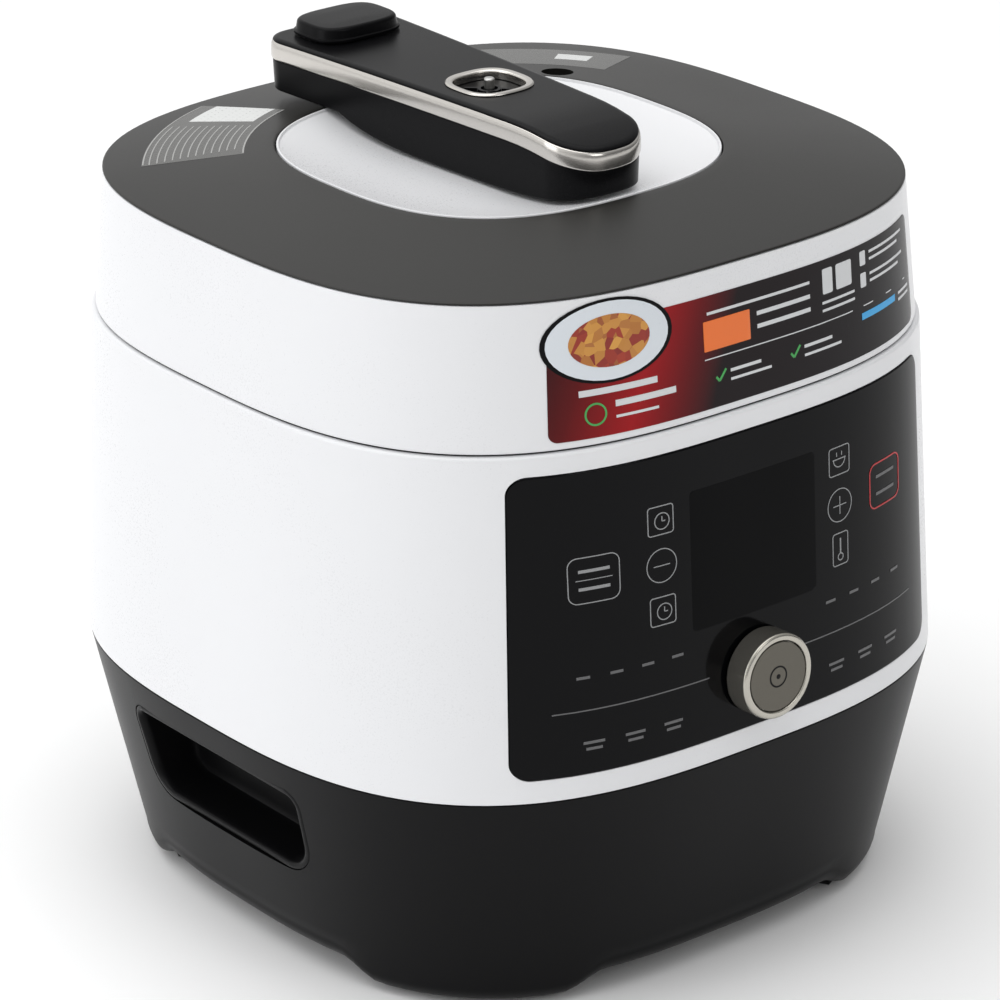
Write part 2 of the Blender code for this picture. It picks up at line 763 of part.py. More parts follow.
def ring_cover_height(share):
    """Height of the dark ring's dome from its outer edge (0) to the dish (1)."""
    return RING_EDGE + (DISH_RIM - RING_EDGE) * share ** 0.9


def make_ring_cover(material):
    outer = lid_ring(LID_TOP_LEVEL)
    inner = dish_ring(1.0, 0.0)
    low = LID_TOP_LEVEL
    rings = [lid_ring(LID_TOP_LEVEL, 0.0001, low), lid_ring(LID_TOP_LEVEL, 0.0, low + 0.0003)]
    shares = (0.01, 0.15, 0.35, 0.6, 1.0)
    rings += [blend_rings(outer, inner, share, ring_cover_height(share)) for share in shares]
    rings += [blend_rings(outer, inner, share, low) for share in (1.0, 0.5)]
    cover = loft("lid_ring_cover", rings, material, closed=True)
    well = rod("vent_well", "Z", VENT_CENTRE, VENT_RADIUS, low + 0.0018, 0.310, material, 24)
    return cut(cover, well)


def dish_height(share):
    """Height of the dish's surface at a share of the way from its middle to its rim."""
    return DISH_FLOOR + (DISH_RIM - DISH_FLOOR) * share ** 4


def make_dish(material):
    """Concave white dish between the ring and the handle, with a round hole for the hub."""
    hole = HUB_RADIUS + 0.0010
    inset = 0.0004
    shares = (1.0, 0.93, 0.85, 0.76, 0.65, 0.5)
    top = [dish_ring(share, dish_height(share), inset) for share in shares]
    under = [dish_ring(share, dish_height(share) - DISH_THICK, inset) for share in shares]
    rings = top + [circle(hole, DISH_FLOOR, SHELL_STEPS), circle(hole, DISH_FLOOR - DISH_THICK, SHELL_STEPS)]
    loft("lid_dish", rings + under[::-1], material, closed=True)


def make_lid_inside(liner_material, frame_material):
    """Liner that closes the lid from below, and the frame whose hole is the handle hub's bearing."""
    low = SEAM_LEVEL + 0.0016
    bore = LID_LUG_RADIUS + 0.0015
    rings = [
        lid_ring(low, 0.0032),
        lid_ring(low + 0.002, 0.0032),
        circle(bore + 0.002, low + 0.002, SHELL_STEPS),
        circle(bore + 0.002, low + 0.014, SHELL_STEPS),
        circle(bore, low + 0.014, SHELL_STEPS),
        circle(bore, low, SHELL_STEPS),
    ]
    loft("lid_liner", rings, liner_material, closed=True)
    low = 0.262
    hole = HUB_RADIUS + 0.0005
    rings = [lid_ring(low, 0.0032), lid_ring(low + 0.003, 0.0032)]
    rings += [circle(hole, low + 0.003, SHELL_STEPS), circle(hole, low, SHELL_STEPS)]
    loft("lid_frame", rings, frame_material, closed=True)


def make_pressure_lid(steel, silicone):
    """Inner metal lid with six lugs, and the silicone seal in its rim."""
    low, high = 0.2255, 0.2385
    lug_top = 0.2295
    steps = BAYONET_STEPS
    radius = PRESSURE_LID_RADIUS

    def outside(z):
        return lugged_ring(radius, LID_LUG_RADIUS, LID_LUG_HALF_ANGLE, z, steps)

    rings = [
        circle(0.0, high),
        circle(0.030, high, steps),
        circle(0.105, high, steps),
        circle(radius, high - 0.004, steps),
        circle(radius - 0.0001, lug_top + 0.0001, steps),
        outside(lug_top),
        outside(low),
        circle(radius - 0.002, low, steps),
        circle(radius - 0.002, high - 0.006, steps),
        circle(0.103, high - 0.0025, steps),
        circle(0.0, high - 0.0025),
    ]
    lid = loft("pressure_lid", rings, steel)
    float_hole = rod("float_hole", "Z", (0.0, WINDOW_Y), FLOAT_RADIUS + 0.0008, 0.230, 0.245, steel, 16)
    steam_hole = rod("steam_hole", "Z", (-0.009, 0.0), 0.0022, 0.230, 0.245, steel, 12)
    cut(lid, float_hole, steam_hole)
    outer, inner = radius - 0.0024, 0.1030
    seal = (
        (outer, high - 0.0070),
        (outer, POT_RIM + 0.0007),
        (inner, POT_RIM + 0.0004),
        (inner, POT_RIM + 0.0035),
        (outer - 0.0030, POT_RIM + 0.0050),
        (outer - 0.0030, high - 0.0070),
    )
    ring = turned("sealing_ring", seal, silicone, closed=True)
    hub = (
        (0.030, high + GAP),
        (0.030, high + 0.0023),
        (HUB_RADIUS, high + 0.0023),
        (HUB_RADIUS, 0.2653),
        (0.027, 0.2653),
        (0.027, 0.2680),
        (HUB_RADIUS, 0.2680),
        (HUB_RADIUS, DISH_FLOOR + KEEL_CLEARANCE - GAP),
        (0.0155, DISH_FLOOR + KEEL_CLEARANCE - GAP),
        (0.0155, high + GAP),
    )
    return [lid, ring, turned("rotor_hub", hub, steel, closed=True)]


# ---------------------------------------------------------------- handle

def crown(y):
    """Drop of the handle's top edges at y: highest near the middle, the nose turned down."""
    if y > CROWN_Y:
        return -CROWN_BACK_DROP * ((y - CROWN_Y) / (HANDLE_BACK_Y - CROWN_Y)) ** 2
    drop = CROWN_FRONT_DROP * ((CROWN_Y - y) / (CROWN_Y - HANDLE_NOSE_Y)) ** 2
    nose = max(0.0, (NOSE_START_Y - y) / (NOSE_START_Y - HANDLE_NOSE_Y))
    return -drop - NOSE_DROP * nose ** NOSE_POWER


def handle_outline(inset, arc_steps=5, side_steps=12):
    """Plan of the handle set in by inset, from the middle of the nose anticlockwise."""
    nose, back = HANDLE_NOSE_Y + inset + END_BULGE, HANDLE_BACK_Y - inset - END_BULGE
    narrow, wide = HANDLE_NARROW - inset, HANDLE_WIDE - inset
    right = ((narrow, nose, NOSE_CORNER - inset), (wide, back, BACK_CORNER - inset))
    left = tuple((-x, y, radius) for x, y, radius in reversed(right))
    corners = rounded_outline(right + left, arc_steps)
    nose_arc, back_arc = corners[: arc_steps + 1], corners[arc_steps + 1 : 2 * arc_steps + 2]
    straight = [nose_arc[-1].lerp(back_arc[0], step / side_steps) for step in range(1, side_steps)]
    side = nose_arc + straight + back_arc
    mirrored = [Vector((-point.x, point.y)) for point in reversed(side)]
    tips = [Vector((0.0, nose - END_BULGE)), Vector((0.0, back + END_BULGE))]
    return tips[:1] + side + tips[1:] + mirrored


def handle_ring(inset, z):
    """Outline of the handle at a height that follows its crown."""
    return [Vector((*point, z + crown(point.y))) for point in handle_outline(inset)]


def keel_ring(inset, lift):
    """Underside of the handle: it follows the dish, then runs level over the ring."""
    ring = []
    for point in handle_outline(inset):
        surface = min(dish_height(point.length / DISH_REACH) + KEEL_CLEARANCE, HANDLE_BOTTOM)
        ring.append(Vector((*point, surface + lift)))
    return ring


def make_handle_body(material):
    """Black tray of the handle, which reaches down into the dish."""
    top = TRIM_BOTTOM - GAP
    floor = HANDLE_BOTTOM + 0.0020
    rings = [
        keel_ring(0.0020, 0.0),
        keel_ring(0.0012, 0.0010),
        handle_ring(0.0006, top),
        handle_ring(0.0030, top),
        [Vector((*point, floor)) for point in handle_outline(0.0048)],
    ]
    body = loft("handle_body", rings, material)
    return cut(body, rod("hub_bore", "Z", (0.0, 0.0), 0.0155, 0.280, 0.340, material, 32))


def make_handle_trim(material):
    low, high = TRIM_BOTTOM, TRIM_BOTTOM + TRIM_HEIGHT
    rings = [
        handle_ring(0.0004, low),
        handle_ring(0.0, low + 0.0006),
        handle_ring(0.0, high - 0.0006),
        handle_ring(0.0005, high),
        handle_ring(0.0016, high),
        handle_ring(0.0016, low),
    ]
    return loft("handle_trim", rings, material, closed=True)


def window_ring(half, z):
    return superellipse(half, half, z, WINDOW_POWER, 32, (0.0, WINDOW_Y))


def make_handle_cap(material):
    low = TRIM_BOTTOM + TRIM_HEIGHT
    rings = [
        handle_ring(0.0019, low - 0.0030),
        handle_ring(0.0019, low + GAP),
        handle_ring(0.0008, low + GAP),
        handle_ring(0.0012, low + 0.0008),
        handle_ring(0.0034, CAP_TOP),
    ]
    cap = loft("handle_cap", rings, material)
    window = loft("window_hole", [window_ring(WINDOW_HALF - 0.0012, z) for z in (0.310, 0.330)], material)
    return cut(cap, window, rod("nozzle_hole", "Z", (0.0, VALVE_Y), 0.0050, 0.310, 0.330, material))


def make_window(chrome, dark):
    """Bright bezel around the pressure indicator, and the guide plate below it."""
    high = CAP_TOP + crown(WINDOW_Y)
    inner = WINDOW_HALF - WINDOW_RIM
    bezel = [
        window_ring(WINDOW_HALF, high + GAP),
        window_ring(WINDOW_HALF - 0.0004, high + 0.0010),
        window_ring(inner + 0.0004, high + 0.0010),
        window_ring(inner, high + 0.0004),
        window_ring(inner, high - 0.0026),
        window_ring(WINDOW_HALF - 0.0015, high - 0.0026),
        window_ring(WINDOW_HALF - 0.0015, high + GAP),
    ]
    guide = [window_ring(WINDOW_HALF - 0.0015, high - drop) for drop in (0.0046, 0.0029)]
    plate = loft("window_guide", guide, dark)
    cut(plate, rod("guide_bore", "Z", (0.0, WINDOW_Y), FLOAT_RADIUS + 0.0006, 0.310, 0.330, dark, 16))
    return [loft("window_bezel", bezel, chrome, closed=True), plate]


def make_steam_parts(steel, pipe_material):
    """Pipe from the hub through the handle to the valve seat under the steam valve knob."""
    low, level, x = 0.2388, 0.3060, -0.009
    bend = 0.010
    path = [Vector((x, 0.0, low)), Vector((x, 0.0, level - bend))]
    for step in range(1, 5):
        turn = math.pi / 2 * step / 4
        path.append(Vector((x, bend * (1 - math.cos(turn)), level - bend + bend * math.sin(turn))))
    for aside, before in ((x, 0.0220), (-0.0070, 0.0130), (-0.0030, 0.0084)):
        path.append(Vector((aside, VALVE_Y - before, level)))
    tube = pipe("steam_pipe", path, 0.0028, pipe_material, bore=0.0018)
    seat = (
        (0.0, HANDLE_BOTTOM + 0.0024),
        (0.0072, HANDLE_BOTTOM + 0.0024),
        (0.0072, 0.3150),
        (0.0038, 0.3150),
        (0.0038, 0.3240),
        (0.0, 0.3245),
    )
    return [tube, turned("valve_seat", seat, steel, 20, (0.0, VALVE_Y))]


def make_steam_valve(material):
    """Knob that turns on the nozzle to let the steam out."""
    half_x, half_y = VALVE_HALF

    def ring(inset, z):
        return superellipse(half_x - inset, half_y - inset, z, 3.4, 32, (0.0, VALVE_Y))

    bore = 0.0048
    rings = [
        ring(0.0, VALVE_BOTTOM),
        ring(0.0010, VALVE_TOP - 0.0022),
        ring(0.0018, VALVE_TOP - 0.0010),
        ring(0.0050, VALVE_TOP),
    ]
    knob = loft("steam_valve_knob", rings, material)
    cut(knob, rod("knob_socket", "Z", (0.0, VALVE_Y), bore, 0.300, 0.3252, material))
    hang(knob, pivot("steam_valve_pivot", (0.0, VALVE_Y, VALVE_BOTTOM)))


def make_float_valve(material):
    """Pin that the pressure lifts, seen in the window of the handle."""
    head = 0.2316
    profile = (
        (0.0, head - 0.0028),
        (0.0045, head - 0.0028),
        (0.0050, head - 0.0020),
        (0.0050, head),
        (FLOAT_RADIUS, head),
        (FLOAT_RADIUS, FLOAT_TOP - 0.0006),
        (FLOAT_RADIUS - 0.0006, FLOAT_TOP),
        (0.0, FLOAT_TOP),
    )
    pin = turned("float_valve", profile, material, SMALL_STEPS, (0.0, WINDOW_Y))
    hang(pin, pivot("float_valve_pivot", (0.0, WINDOW_Y, head)))


# ---------------------------------------------------------------- hinge and cup

def knuckle_arc(first, last, steps=10):
    """Points (y, z) of the hinge knuckle from one angle to another, in degrees."""
    angles = [math.radians(first + (last - first) * step / steps) for step in range(steps + 1)]
    return [(HINGE_Y + KNUCKLE_RADIUS * math.cos(a), HINGE_Z + KNUCKLE_RADIUS * math.sin(a)) for a in angles]


def pin_bore(name, material):
    return rod(name, "X", (HINGE_Y, HINGE_Z), HINGE_PIN_RADIUS + GAP, -0.060, 0.060, material)


def lid_back(z):
    return body_half(z)[1] - LID_STEP * (LID_TOP_LEVEL - z) / (LID_TOP_LEVEL - SEAM_LEVEL)


def make_hinge(material, steel):
    """Bracket on the body, arm on the lid, and the pin through both."""
    low, high = 0.2375, 0.2620
    outline = [(lid_back(low) + GAP, low)] + knuckle_arc(150, 400, 14)
    outline += [(lid_back(high) + 0.0040, high), (lid_back(high) + GAP, high)]
    arm = prism("hinge_arm", outline, "X", -ARM_HALF_X, ARM_HALF_X, material)
    cut(arm, pin_bore("arm_bore", material))
    foot, top = 0.2040, HINGE_Z - KNUCKLE_RADIUS - 0.0008
    wall = [(body_half(z)[1] + GAP, z) for z in (foot, top)]
    back = HINGE_Y + 0.0030
    plate = [wall[0], (HINGE_Y + 0.0005, foot), (back, foot + 0.003), (back, top), wall[1]]
    bracket = prism("hinge_bracket", plate, "X", -BRACKET_HALF_X, BRACKET_HALF_X, material)
    cheek = knuckle_arc(-20, 200) + [(HINGE_Y - 0.0035, top - 0.004), (HINGE_Y + 0.0028, top - 0.004)]
    for side, name in ((-1, "left"), (1, "right")):
        ends = sorted((side * (ARM_HALF_X + 0.0005), side * BRACKET_HALF_X))
        combine(bracket, prism("cheek_" + name, cheek, "X", *ends, material), "UNION")
    cut(bracket, pin_bore("bracket_bore", material))
    reach = BRACKET_HALF_X - 0.001
    rod("hinge_pin", "X", (HINGE_Y, HINGE_Z), HINGE_PIN_RADIUS, -reach, reach, steel)
    return arm


def make_cup(cup_material, holder_material):
    """Condensate cup that pulls off a tongue on the back of the body."""
    low, high = CUP_Z
    front = body_half(low)[1] + 0.0018
    outline = rectangle(-CUP_HALF_X, front, CUP_HALF_X, back_limit(), 0.004, 3)
    inside = rectangle(
        -CUP_HALF_X + CUP_WALL, front + CUP_WALL, CUP_HALF_X - CUP_WALL, back_limit() - CUP_WALL, 0.003, 3
    )
    cup = prism("condensate_cup", outline, "Z", low, high, cup_material)
    cut(cup, prism("cup_hollow", inside, "Z", low + CUP_WALL, high + 0.010, cup_material))
    half, (tongue_low, tongue_high) = TONGUE_HALF_X, TONGUE_Z
    slot = rectangle(-half - 0.0004, tongue_low - 0.0004, half + 0.0004, tongue_high + 0.0004, 0.0005, 1)
    cut(cup, prism("cup_slot", slot, "Y", front - 0.005, front + 0.005, cup_material))
    hang(cup, pivot("cup_pivot", (0.0, front, low), (0.0, 1.0, 0.0)))
    plate_low, plate_high = 0.1700, 0.1960
    wall = [(body_half(z)[1] + GAP, z) for z in (plate_low, plate_high)]
    plate = (wall[0], (front - GAP, plate_low), (front - GAP, plate_high), wall[1])
    holder = prism("cup_holder", plate, "X", -0.024, 0.024, holder_material)
    corners = (-half, front - 0.0012, tongue_low), (half, front + 0.0040, tongue_high)
    tongue = block("cup_tongue", *corners, holder_material)
    combine(holder, tongue, "UNION")


def hang_all(names, parent):
    for name in names:
        hang(bpy.data.objects[name], parent)


def main():
    clear_scene()
    white = make_material("white_plastic", (0.80, 0.81, 0.83), 0.28)
    black = make_material("satin_black_plastic", (0.020, 0.020, 0.021), 0.42)
    gloss = make_material("gloss_black_panel", (0.006, 0.006, 0.007), 0.10)
    ring = make_material("warm_grey_plastic", (0.030, 0.029, 0.027), 0.38)
    rubber = make_material("rubber", (0.015, 0.015, 0.015), 0.85)
    chrome = make_material("chrome", (0.62, 0.61, 0.59), 0.10, 1.0)
    brushed = make_material("brushed_metal", (0.20, 0.19, 0.17), 0.35, 1.0)
    steel = make_material("steel", (0.48, 0.48, 0.48), 0.32, 1.0)
    aluminium = make_material("aluminium", (0.55, 0.55, 0.56), 0.40, 1.0)
    coating = make_material("non_stick_coating", (0.035, 0.035, 0.037), 0.45)
    silicone = make_material("silicone", (0.72, 0.72, 0.70), 0.60)
    board = make_material("circuit_board", (0.020, 0.110, 0.040), 0.50)
    brass = make_material("brass", (0.60, 0.42, 0.16), 0.30, 1.0)
    clear = make_material("smoky_clear_plastic", (0.30, 0.31, 0.32), 0.15)

    housing = make_base_housing(black)
    make_inserts(black, brass)
    make_foot_pads(rubber)
    make_bottom(black, steel, housing)
    make_power_parts(board, black, steel)
    make_body_shell(white)
    make_panel(gloss, black)
    make_controls(board, gloss, black, chrome, brushed, steel)
    make_top_deck(black)
    make_pots(coating, aluminium, aluminium)
    make_sensor(aluminium, steel)
    make_bayonet_ring(steel)

    make_lid_shell(white)
    make_ring_cover(ring)
    make_dish(white)
    make_lid_inside(black, black)
    make_hinge(black, steel)
    make_pressure_lid(steel, silicone)
    make_handle_body(black)
    make_handle_trim(chrome)
    make_handle_cap(black)
    make_window(chrome, black)
    make_steam_parts(steel, steel)
    make_steam_valve(black)
    make_float_valve(steel)
    make_cup(clear, black)

    lid_pivot = pivot("lid_pivot", (0.0, HINGE_Y, HINGE_Z), (-1.0, 0.0, 0.0))
    handle_pivot = pivot("handle_pivot", (0.0, 0.0, DISH_FLOOR), (0.0, 0.0, -1.0))
    hang(handle_pivot, lid_pivot)
    hang_all(("lid_shell", "lid_ring_cover", "lid_dish", "lid_liner", "lid_frame", "hinge_arm"), lid_pivot)
    turning = ("pressure_lid", "sealing_ring", "rotor_hub", "handle_body", "handle_trim", "handle_cap")
    hang_all(turning + ("window_bezel", "window_guide", "steam_pipe", "valve_seat"), handle_pivot)
    hang_all(("steam_valve_pivot", "float_valve_pivot"), handle_pivot)


main()
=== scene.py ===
"""Looks of the electric pressure cooker: fine surfaces, materials, floor, light and camera.

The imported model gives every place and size. Its front (control panel) faces -Y and +Z is up.
"""

import json
import math

import bmesh
import bpy
from mathutils import Matrix, Vector


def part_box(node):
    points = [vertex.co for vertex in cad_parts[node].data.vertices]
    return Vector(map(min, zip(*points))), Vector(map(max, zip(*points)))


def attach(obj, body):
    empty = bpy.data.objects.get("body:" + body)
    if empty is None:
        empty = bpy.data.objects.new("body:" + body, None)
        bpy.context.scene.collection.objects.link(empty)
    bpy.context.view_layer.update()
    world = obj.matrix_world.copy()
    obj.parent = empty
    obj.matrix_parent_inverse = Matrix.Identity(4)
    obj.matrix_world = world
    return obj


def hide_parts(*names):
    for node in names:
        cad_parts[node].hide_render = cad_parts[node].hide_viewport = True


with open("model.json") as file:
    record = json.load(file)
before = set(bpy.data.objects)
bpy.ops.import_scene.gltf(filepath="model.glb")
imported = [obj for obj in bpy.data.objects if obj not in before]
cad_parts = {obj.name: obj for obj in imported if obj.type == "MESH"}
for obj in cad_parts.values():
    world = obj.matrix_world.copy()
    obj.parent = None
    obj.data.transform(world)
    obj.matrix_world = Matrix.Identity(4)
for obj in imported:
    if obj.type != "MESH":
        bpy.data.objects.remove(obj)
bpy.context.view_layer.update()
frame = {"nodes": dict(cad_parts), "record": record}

# ---------------------------------------------------------------- sizes, from the frame

HOUSING_LOW, HOUSING_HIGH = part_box("base_housing")
SHELL_LOW, SHELL_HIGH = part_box("body_shell")
LID_LOW, LID_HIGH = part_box("lid_shell")
COVER_LOW, COVER_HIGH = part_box("lid_ring_cover")
DISH_LOW, DISH_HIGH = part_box("lid_dish")
PANEL_LOW, PANEL_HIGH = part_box("front_panel")
GRIP_LOW, GRIP_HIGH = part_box("grip_pocket_right")
INLET_LOW, INLET_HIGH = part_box("power_inlet")
TRIM_LOW, TRIM_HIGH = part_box("handle_trim")
BEZEL_LOW, BEZEL_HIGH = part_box("window_bezel")
VALVE_LOW, VALVE_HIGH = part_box("steam_valve_knob")
PIN_LOW, PIN_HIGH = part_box("float_valve")
CUP_LOW, CUP_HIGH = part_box("condensate_cup")
DECK_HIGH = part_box("top_deck")[1]
POT_LOW, POT_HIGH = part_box("inner_pot")
BAYONET_LOW, BAYONET_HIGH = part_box("locking_ring")
PLATE_LOW, PLATE_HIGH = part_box("pressure_lid")
SEAL_LOW, SEAL_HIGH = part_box("sealing_ring")
LINER_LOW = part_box("lid_liner")[0]
JOINTS = {joint["name"]: joint for joint in frame["record"]["behaviour"]["joints"]}
KNOB_JOINT = JOINTS["knob_turn"]

# The plan outlines are superellipses; their half sizes change along straight lines between levels.
OUTLINE_POWER = 2.92
DISH_POWER = 2.69
FOOT_LEVEL = 0.010
FOOT_HALF = (0.1344, 0.1367)
WAIST_HALF = (SHELL_HIGH.x, SHELL_HIGH.y)
WAIST_LEVEL = SHELL_LOW.z
SEAM_HALF = (0.1457, 0.1474)
SEAM_LEVEL = 0.2343
SEAM_CLOSING = 0.0002
TOP_HALF = (COVER_HIGH.x, COVER_HIGH.y)
TOP_LEVEL = COVER_LOW.z
LID_STEP = 0.0014
GAP = 0.0003
WALL = 0.0030

# Arches and pockets of the base, then the dished top of the lid.
ARCH_LEVEL = 0.0085
CORNER_LEVEL = HOUSING_LOW.z
ARCH_END = 0.056
FOOT_START = 0.074
GRIP_FLOOR = 0.1220
INLET_CORNER = 0.003
RING_EDGE = 0.2912
DISH_FLOOR = 0.2912
DISH_GAP = 0.0004
VENT_CENTRE = (0.0767, 0.0597)
LIP_INSET = 0.007
LIP_WIDTH = 0.011

# Fineness of the outlines, and the edge angles that stay sharp or are softened.
SHELL_STEPS = 192
ROUND_STEPS = 128
LUG_STEPS = 288
SHARP_ANGLE = math.radians(38)
SOFT_ANGLE = math.radians(50)

# Panel, label and prints. Print marks are laid out on the wall as (across, height).
PANEL_PROUD = 0.0004
PANEL_LEAN = 0.0333
PANEL_CORNER = 0.0070
DISPLAY_PATCH = (-0.0310, 0.1525, 0.0310, 0.2085, 0.002)
LABEL_PATCH = (-0.0840, 0.2374, 0.1010, 0.2805, 0.0035)
LABEL_TOP = LABEL_PATCH[3]
PRINT_LIFT = 0.00005
LABEL_LIFT = 0.00020
PRINT_HEIGHT = 0.00012


# ---------------------------------------------------------------- materials

def feed(tree, node, inputs):
    """Gives each named input of a shader node its value, or the socket that drives it."""
    for key, value in inputs.items():
        if isinstance(value, bpy.types.NodeSocket):
            tree.links.new(value, node.inputs[key])
        else:
            node.inputs[key].default_value = value


def add_node(tree, kind, output, inputs=None, operation=None):
    """Adds a shader node, feeds it and returns its named output."""
    node = tree.nodes.new("ShaderNode" + kind)
    if operation:
        node.operation = operation
    feed(tree, node, inputs or {})
    return node.outputs[output]


def add_ramp(tree, source, stops):
    """Colour ramp through (position, colour) stops."""
    ramp = tree.nodes.new("ShaderNodeValToRGB")
    elements = ramp.color_ramp.elements
    for element, (position, colour) in zip(elements, (stops[0], stops[-1])):
        element.position, element.color = position, (*colour, 1.0)
    for position, colour in stops[1:-1]:
        elements.new(position).color = (*colour, 1.0)
    tree.links.new(source, ramp.inputs["Fac"])
    return ramp.outputs["Color"]


def feed_shader(material, inputs):
    feed(material.node_tree, material.node_tree.nodes["Principled BSDF"], inputs)


def add_bump(material, height, strength, distance):
    inputs = {"Height": height, "Strength": strength, "Distance": distance}
    feed_shader(material, {"Normal": add_node(material.node_tree, "Bump", "Normal", inputs)})


def new_material(name, colour, roughness, metallic=0.0, tint=0.03, grain=900.0, bump=0.04,
                 rough_spread=0.05, cloud=9.0, coat=0.0, coat_roughness=0.05, specular=0.5):
    """Principled material with cloudy colour, uneven gloss and a fine surface grain."""
    material = bpy.data.materials.new(name)
    material.use_nodes = True
    tree = material.node_tree
    place = add_node(tree, "TexCoord", "Object")
    clouds = add_node(tree, "TexNoise", "Fac", {"Vector": place, "Scale": cloud, "Detail": 3.0})
    fine = add_node(tree, "TexNoise", "Fac", {"Vector": place, "Scale": grain, "Detail": 2.0})
    low = [channel * (1 - tint) for channel in colour]
    high = [min(channel * (1 + tint), 1.0) for channel in colour]
    gloss = {
        "Value": add_node(tree, "Math", "Value", {0: clouds, 1: fine}, "ADD"),
        "From Min": 0.6,
        "From Max": 1.4,
        "To Min": max(roughness - rough_spread, 0.01),
        "To Max": min(roughness + rough_spread, 1.0),
    }
    feed_shader(material, {
        "Base Color": add_ramp(tree, clouds, ((0.3, low), (0.7, high))),
        "Roughness": add_node(tree, "MapRange", "Result", gloss),
        "Metallic": metallic,
        "Specular IOR Level": specular,
        "Coat Weight": coat,
        "Coat Roughness": coat_roughness,
    })
    if bump:
        add_bump(material, fine, bump, 0.0002)
    return material


def new_metal(name, colour, roughness, **options):
    return new_material(name, colour, roughness, 1.0, **options)


def new_ink(name, colour, roughness=0.45):
    return new_material(name, colour, roughness, tint=0.05, bump=0.02)


def brushed_metal(name, colour, roughness, stretch):
    """Metal with fine parallel brushing, which runs across the axis of the larger stretch."""
    material = new_metal(name, colour, roughness, tint=0.05, bump=0.0)
    tree = material.node_tree
    place = add_node(tree, "TexCoord", "Object")
    drawn = add_node(tree, "Mapping", "Vector", {"Vector": place, "Scale": stretch})
    lines = add_node(tree, "TexNoise", "Fac", {"Vector": drawn, "Scale": 60.0, "Detail": 4.0})
    add_bump(material, lines, 0.25, 0.0001)
    return material


def clear_material(name, colour, roughness):
    material = new_material(name, colour, roughness, tint=0.02, bump=0.01)
    feed_shader(material, {"Transmission Weight": 0.85, "IOR": 1.49})
    return material


def label_material():
    """Dark label whose left end is deep red and fades to near black."""
    material = new_material("label_film", (0.02, 0.02, 0.021), 0.22, bump=0.02, specular=0.15)
    tree = material.node_tree
    place = add_node(tree, "TexCoord", "Object")
    height = add_node(tree, "SeparateXYZ", "Z", {"Vector": place})
    across = height.node.outputs["X"]
    leaning = add_node(tree, "Math", "Value", {0: height, 1: -0.35, 2: across}, "MULTIPLY_ADD")
    ends = {"Value": leaning, "From Min": -0.180, "From Max": 0.010}
    stops = (
        (0.00, (0.030, 0.004, 0.005)),
        (0.08, (0.10, 0.004, 0.005)),
        (0.22, (0.32, 0.006, 0.009)),
        (0.33, (0.12, 0.004, 0.006)),
        (0.42, (0.010, 0.006, 0.007)),
        (1.00, (0.010, 0.009, 0.010)),
    )
    share = add_node(tree, "MapRange", "Result", ends)
    feed_shader(material, {"Base Color": add_ramp(tree, share, stops)})
    return material


def dapple_material():
    """Warm rounded patches on a plain plate: a generic stand-in for a picture of food."""
    material = new_material("plate_dapple", (0.5, 0.2, 0.05), 0.35, bump=0.02)
    tree = material.node_tree
    place = add_node(tree, "TexCoord", "Object")
    cells = add_node(tree, "TexVoronoi", "Color", {"Vector": place, "Scale": 300.0})
    chance = add_node(tree, "SeparateColor", "Red", {"Color": cells})
    stops = (
        (0.00, (0.40, 0.14, 0.02)),
        (0.35, (0.62, 0.30, 0.05)),
        (0.65, (0.22, 0.012, 0.006)),
        (1.00, (0.34, 0.03, 0.008)),
    )
    feed_shader(material, {"Base Color": add_ramp(tree, chance, stops)})
    return material


WHITE = new_material(
    "white_shell", (0.73, 0.735, 0.75), 0.30, tint=0.008, grain=1400, bump=0.02, coat=0.15, coat_roughness=0.12
)
BLACK = new_material(
    "satin_black", (0.0032, 0.0032, 0.0036), 0.36, tint=0.10, grain=2600, bump=0.10, specular=0.12
)
HANDLE_BLACK = new_material(
    "handle_black", (0.0025, 0.0025, 0.003), 0.30, tint=0.10, grain=3000, bump=0.05, specular=0.09
)
RING_GREY = new_material(
    "ring_grey", (0.011, 0.0105, 0.0092), 0.36, tint=0.06, grain=2600, bump=0.06, specular=0.3
)
GLOSS = new_material(
    "gloss_panel", (0.002, 0.002, 0.0025), 0.10, tint=0.15, grain=300, bump=0.004, rough_spread=0.02,
    specular=0.10,
)
DISPLAY = new_material(
    "display_glass", (0.0012, 0.0012, 0.0015), 0.05, tint=0.2, grain=300, bump=0.0, rough_spread=0.02,
    specular=0.06,
)
RUBBER = new_material("rubber", (0.010, 0.010, 0.010), 0.85, tint=0.10, grain=1500, bump=0.20, specular=0.2)
SILICONE = new_material("silicone", (0.68, 0.68, 0.66), 0.55, bump=0.05)
SATIN_METAL = new_metal("satin_metal", (0.62, 0.595, 0.56), 0.22, grain=2400, bump=0.03, rough_spread=0.04)
STEEL = brushed_metal("steel", (0.52, 0.52, 0.51), 0.30, (1.0, 20.0, 1.0))
KNOB_CHROME = new_material("knob_chrome", (0.46, 0.44, 0.39), 0.20, 0.88, bump=0.01, rough_spread=0.03)
KNOB_METAL = brushed_metal("knob_metal", (0.125, 0.117, 0.100), 0.34, (1.0, 1.0, 30.0))
ALUMINIUM = new_metal("aluminium", (0.55, 0.55, 0.56), 0.42, tint=0.05, grain=1200, bump=0.10)
COATING = new_material("non_stick", (0.030, 0.030, 0.032), 0.40, tint=0.25, grain=4000, bump=0.15)
BOARD = new_material("circuit_board", (0.015, 0.10, 0.035), 0.45, tint=0.25, cloud=60, grain=500, bump=0.05)
BRASS = new_metal("brass", (0.60, 0.42, 0.16), 0.28, tint=0.05, grain=800, bump=0.05)
CLEAR = clear_material("smoky_clear", (0.55, 0.57, 0.60), 0.12)
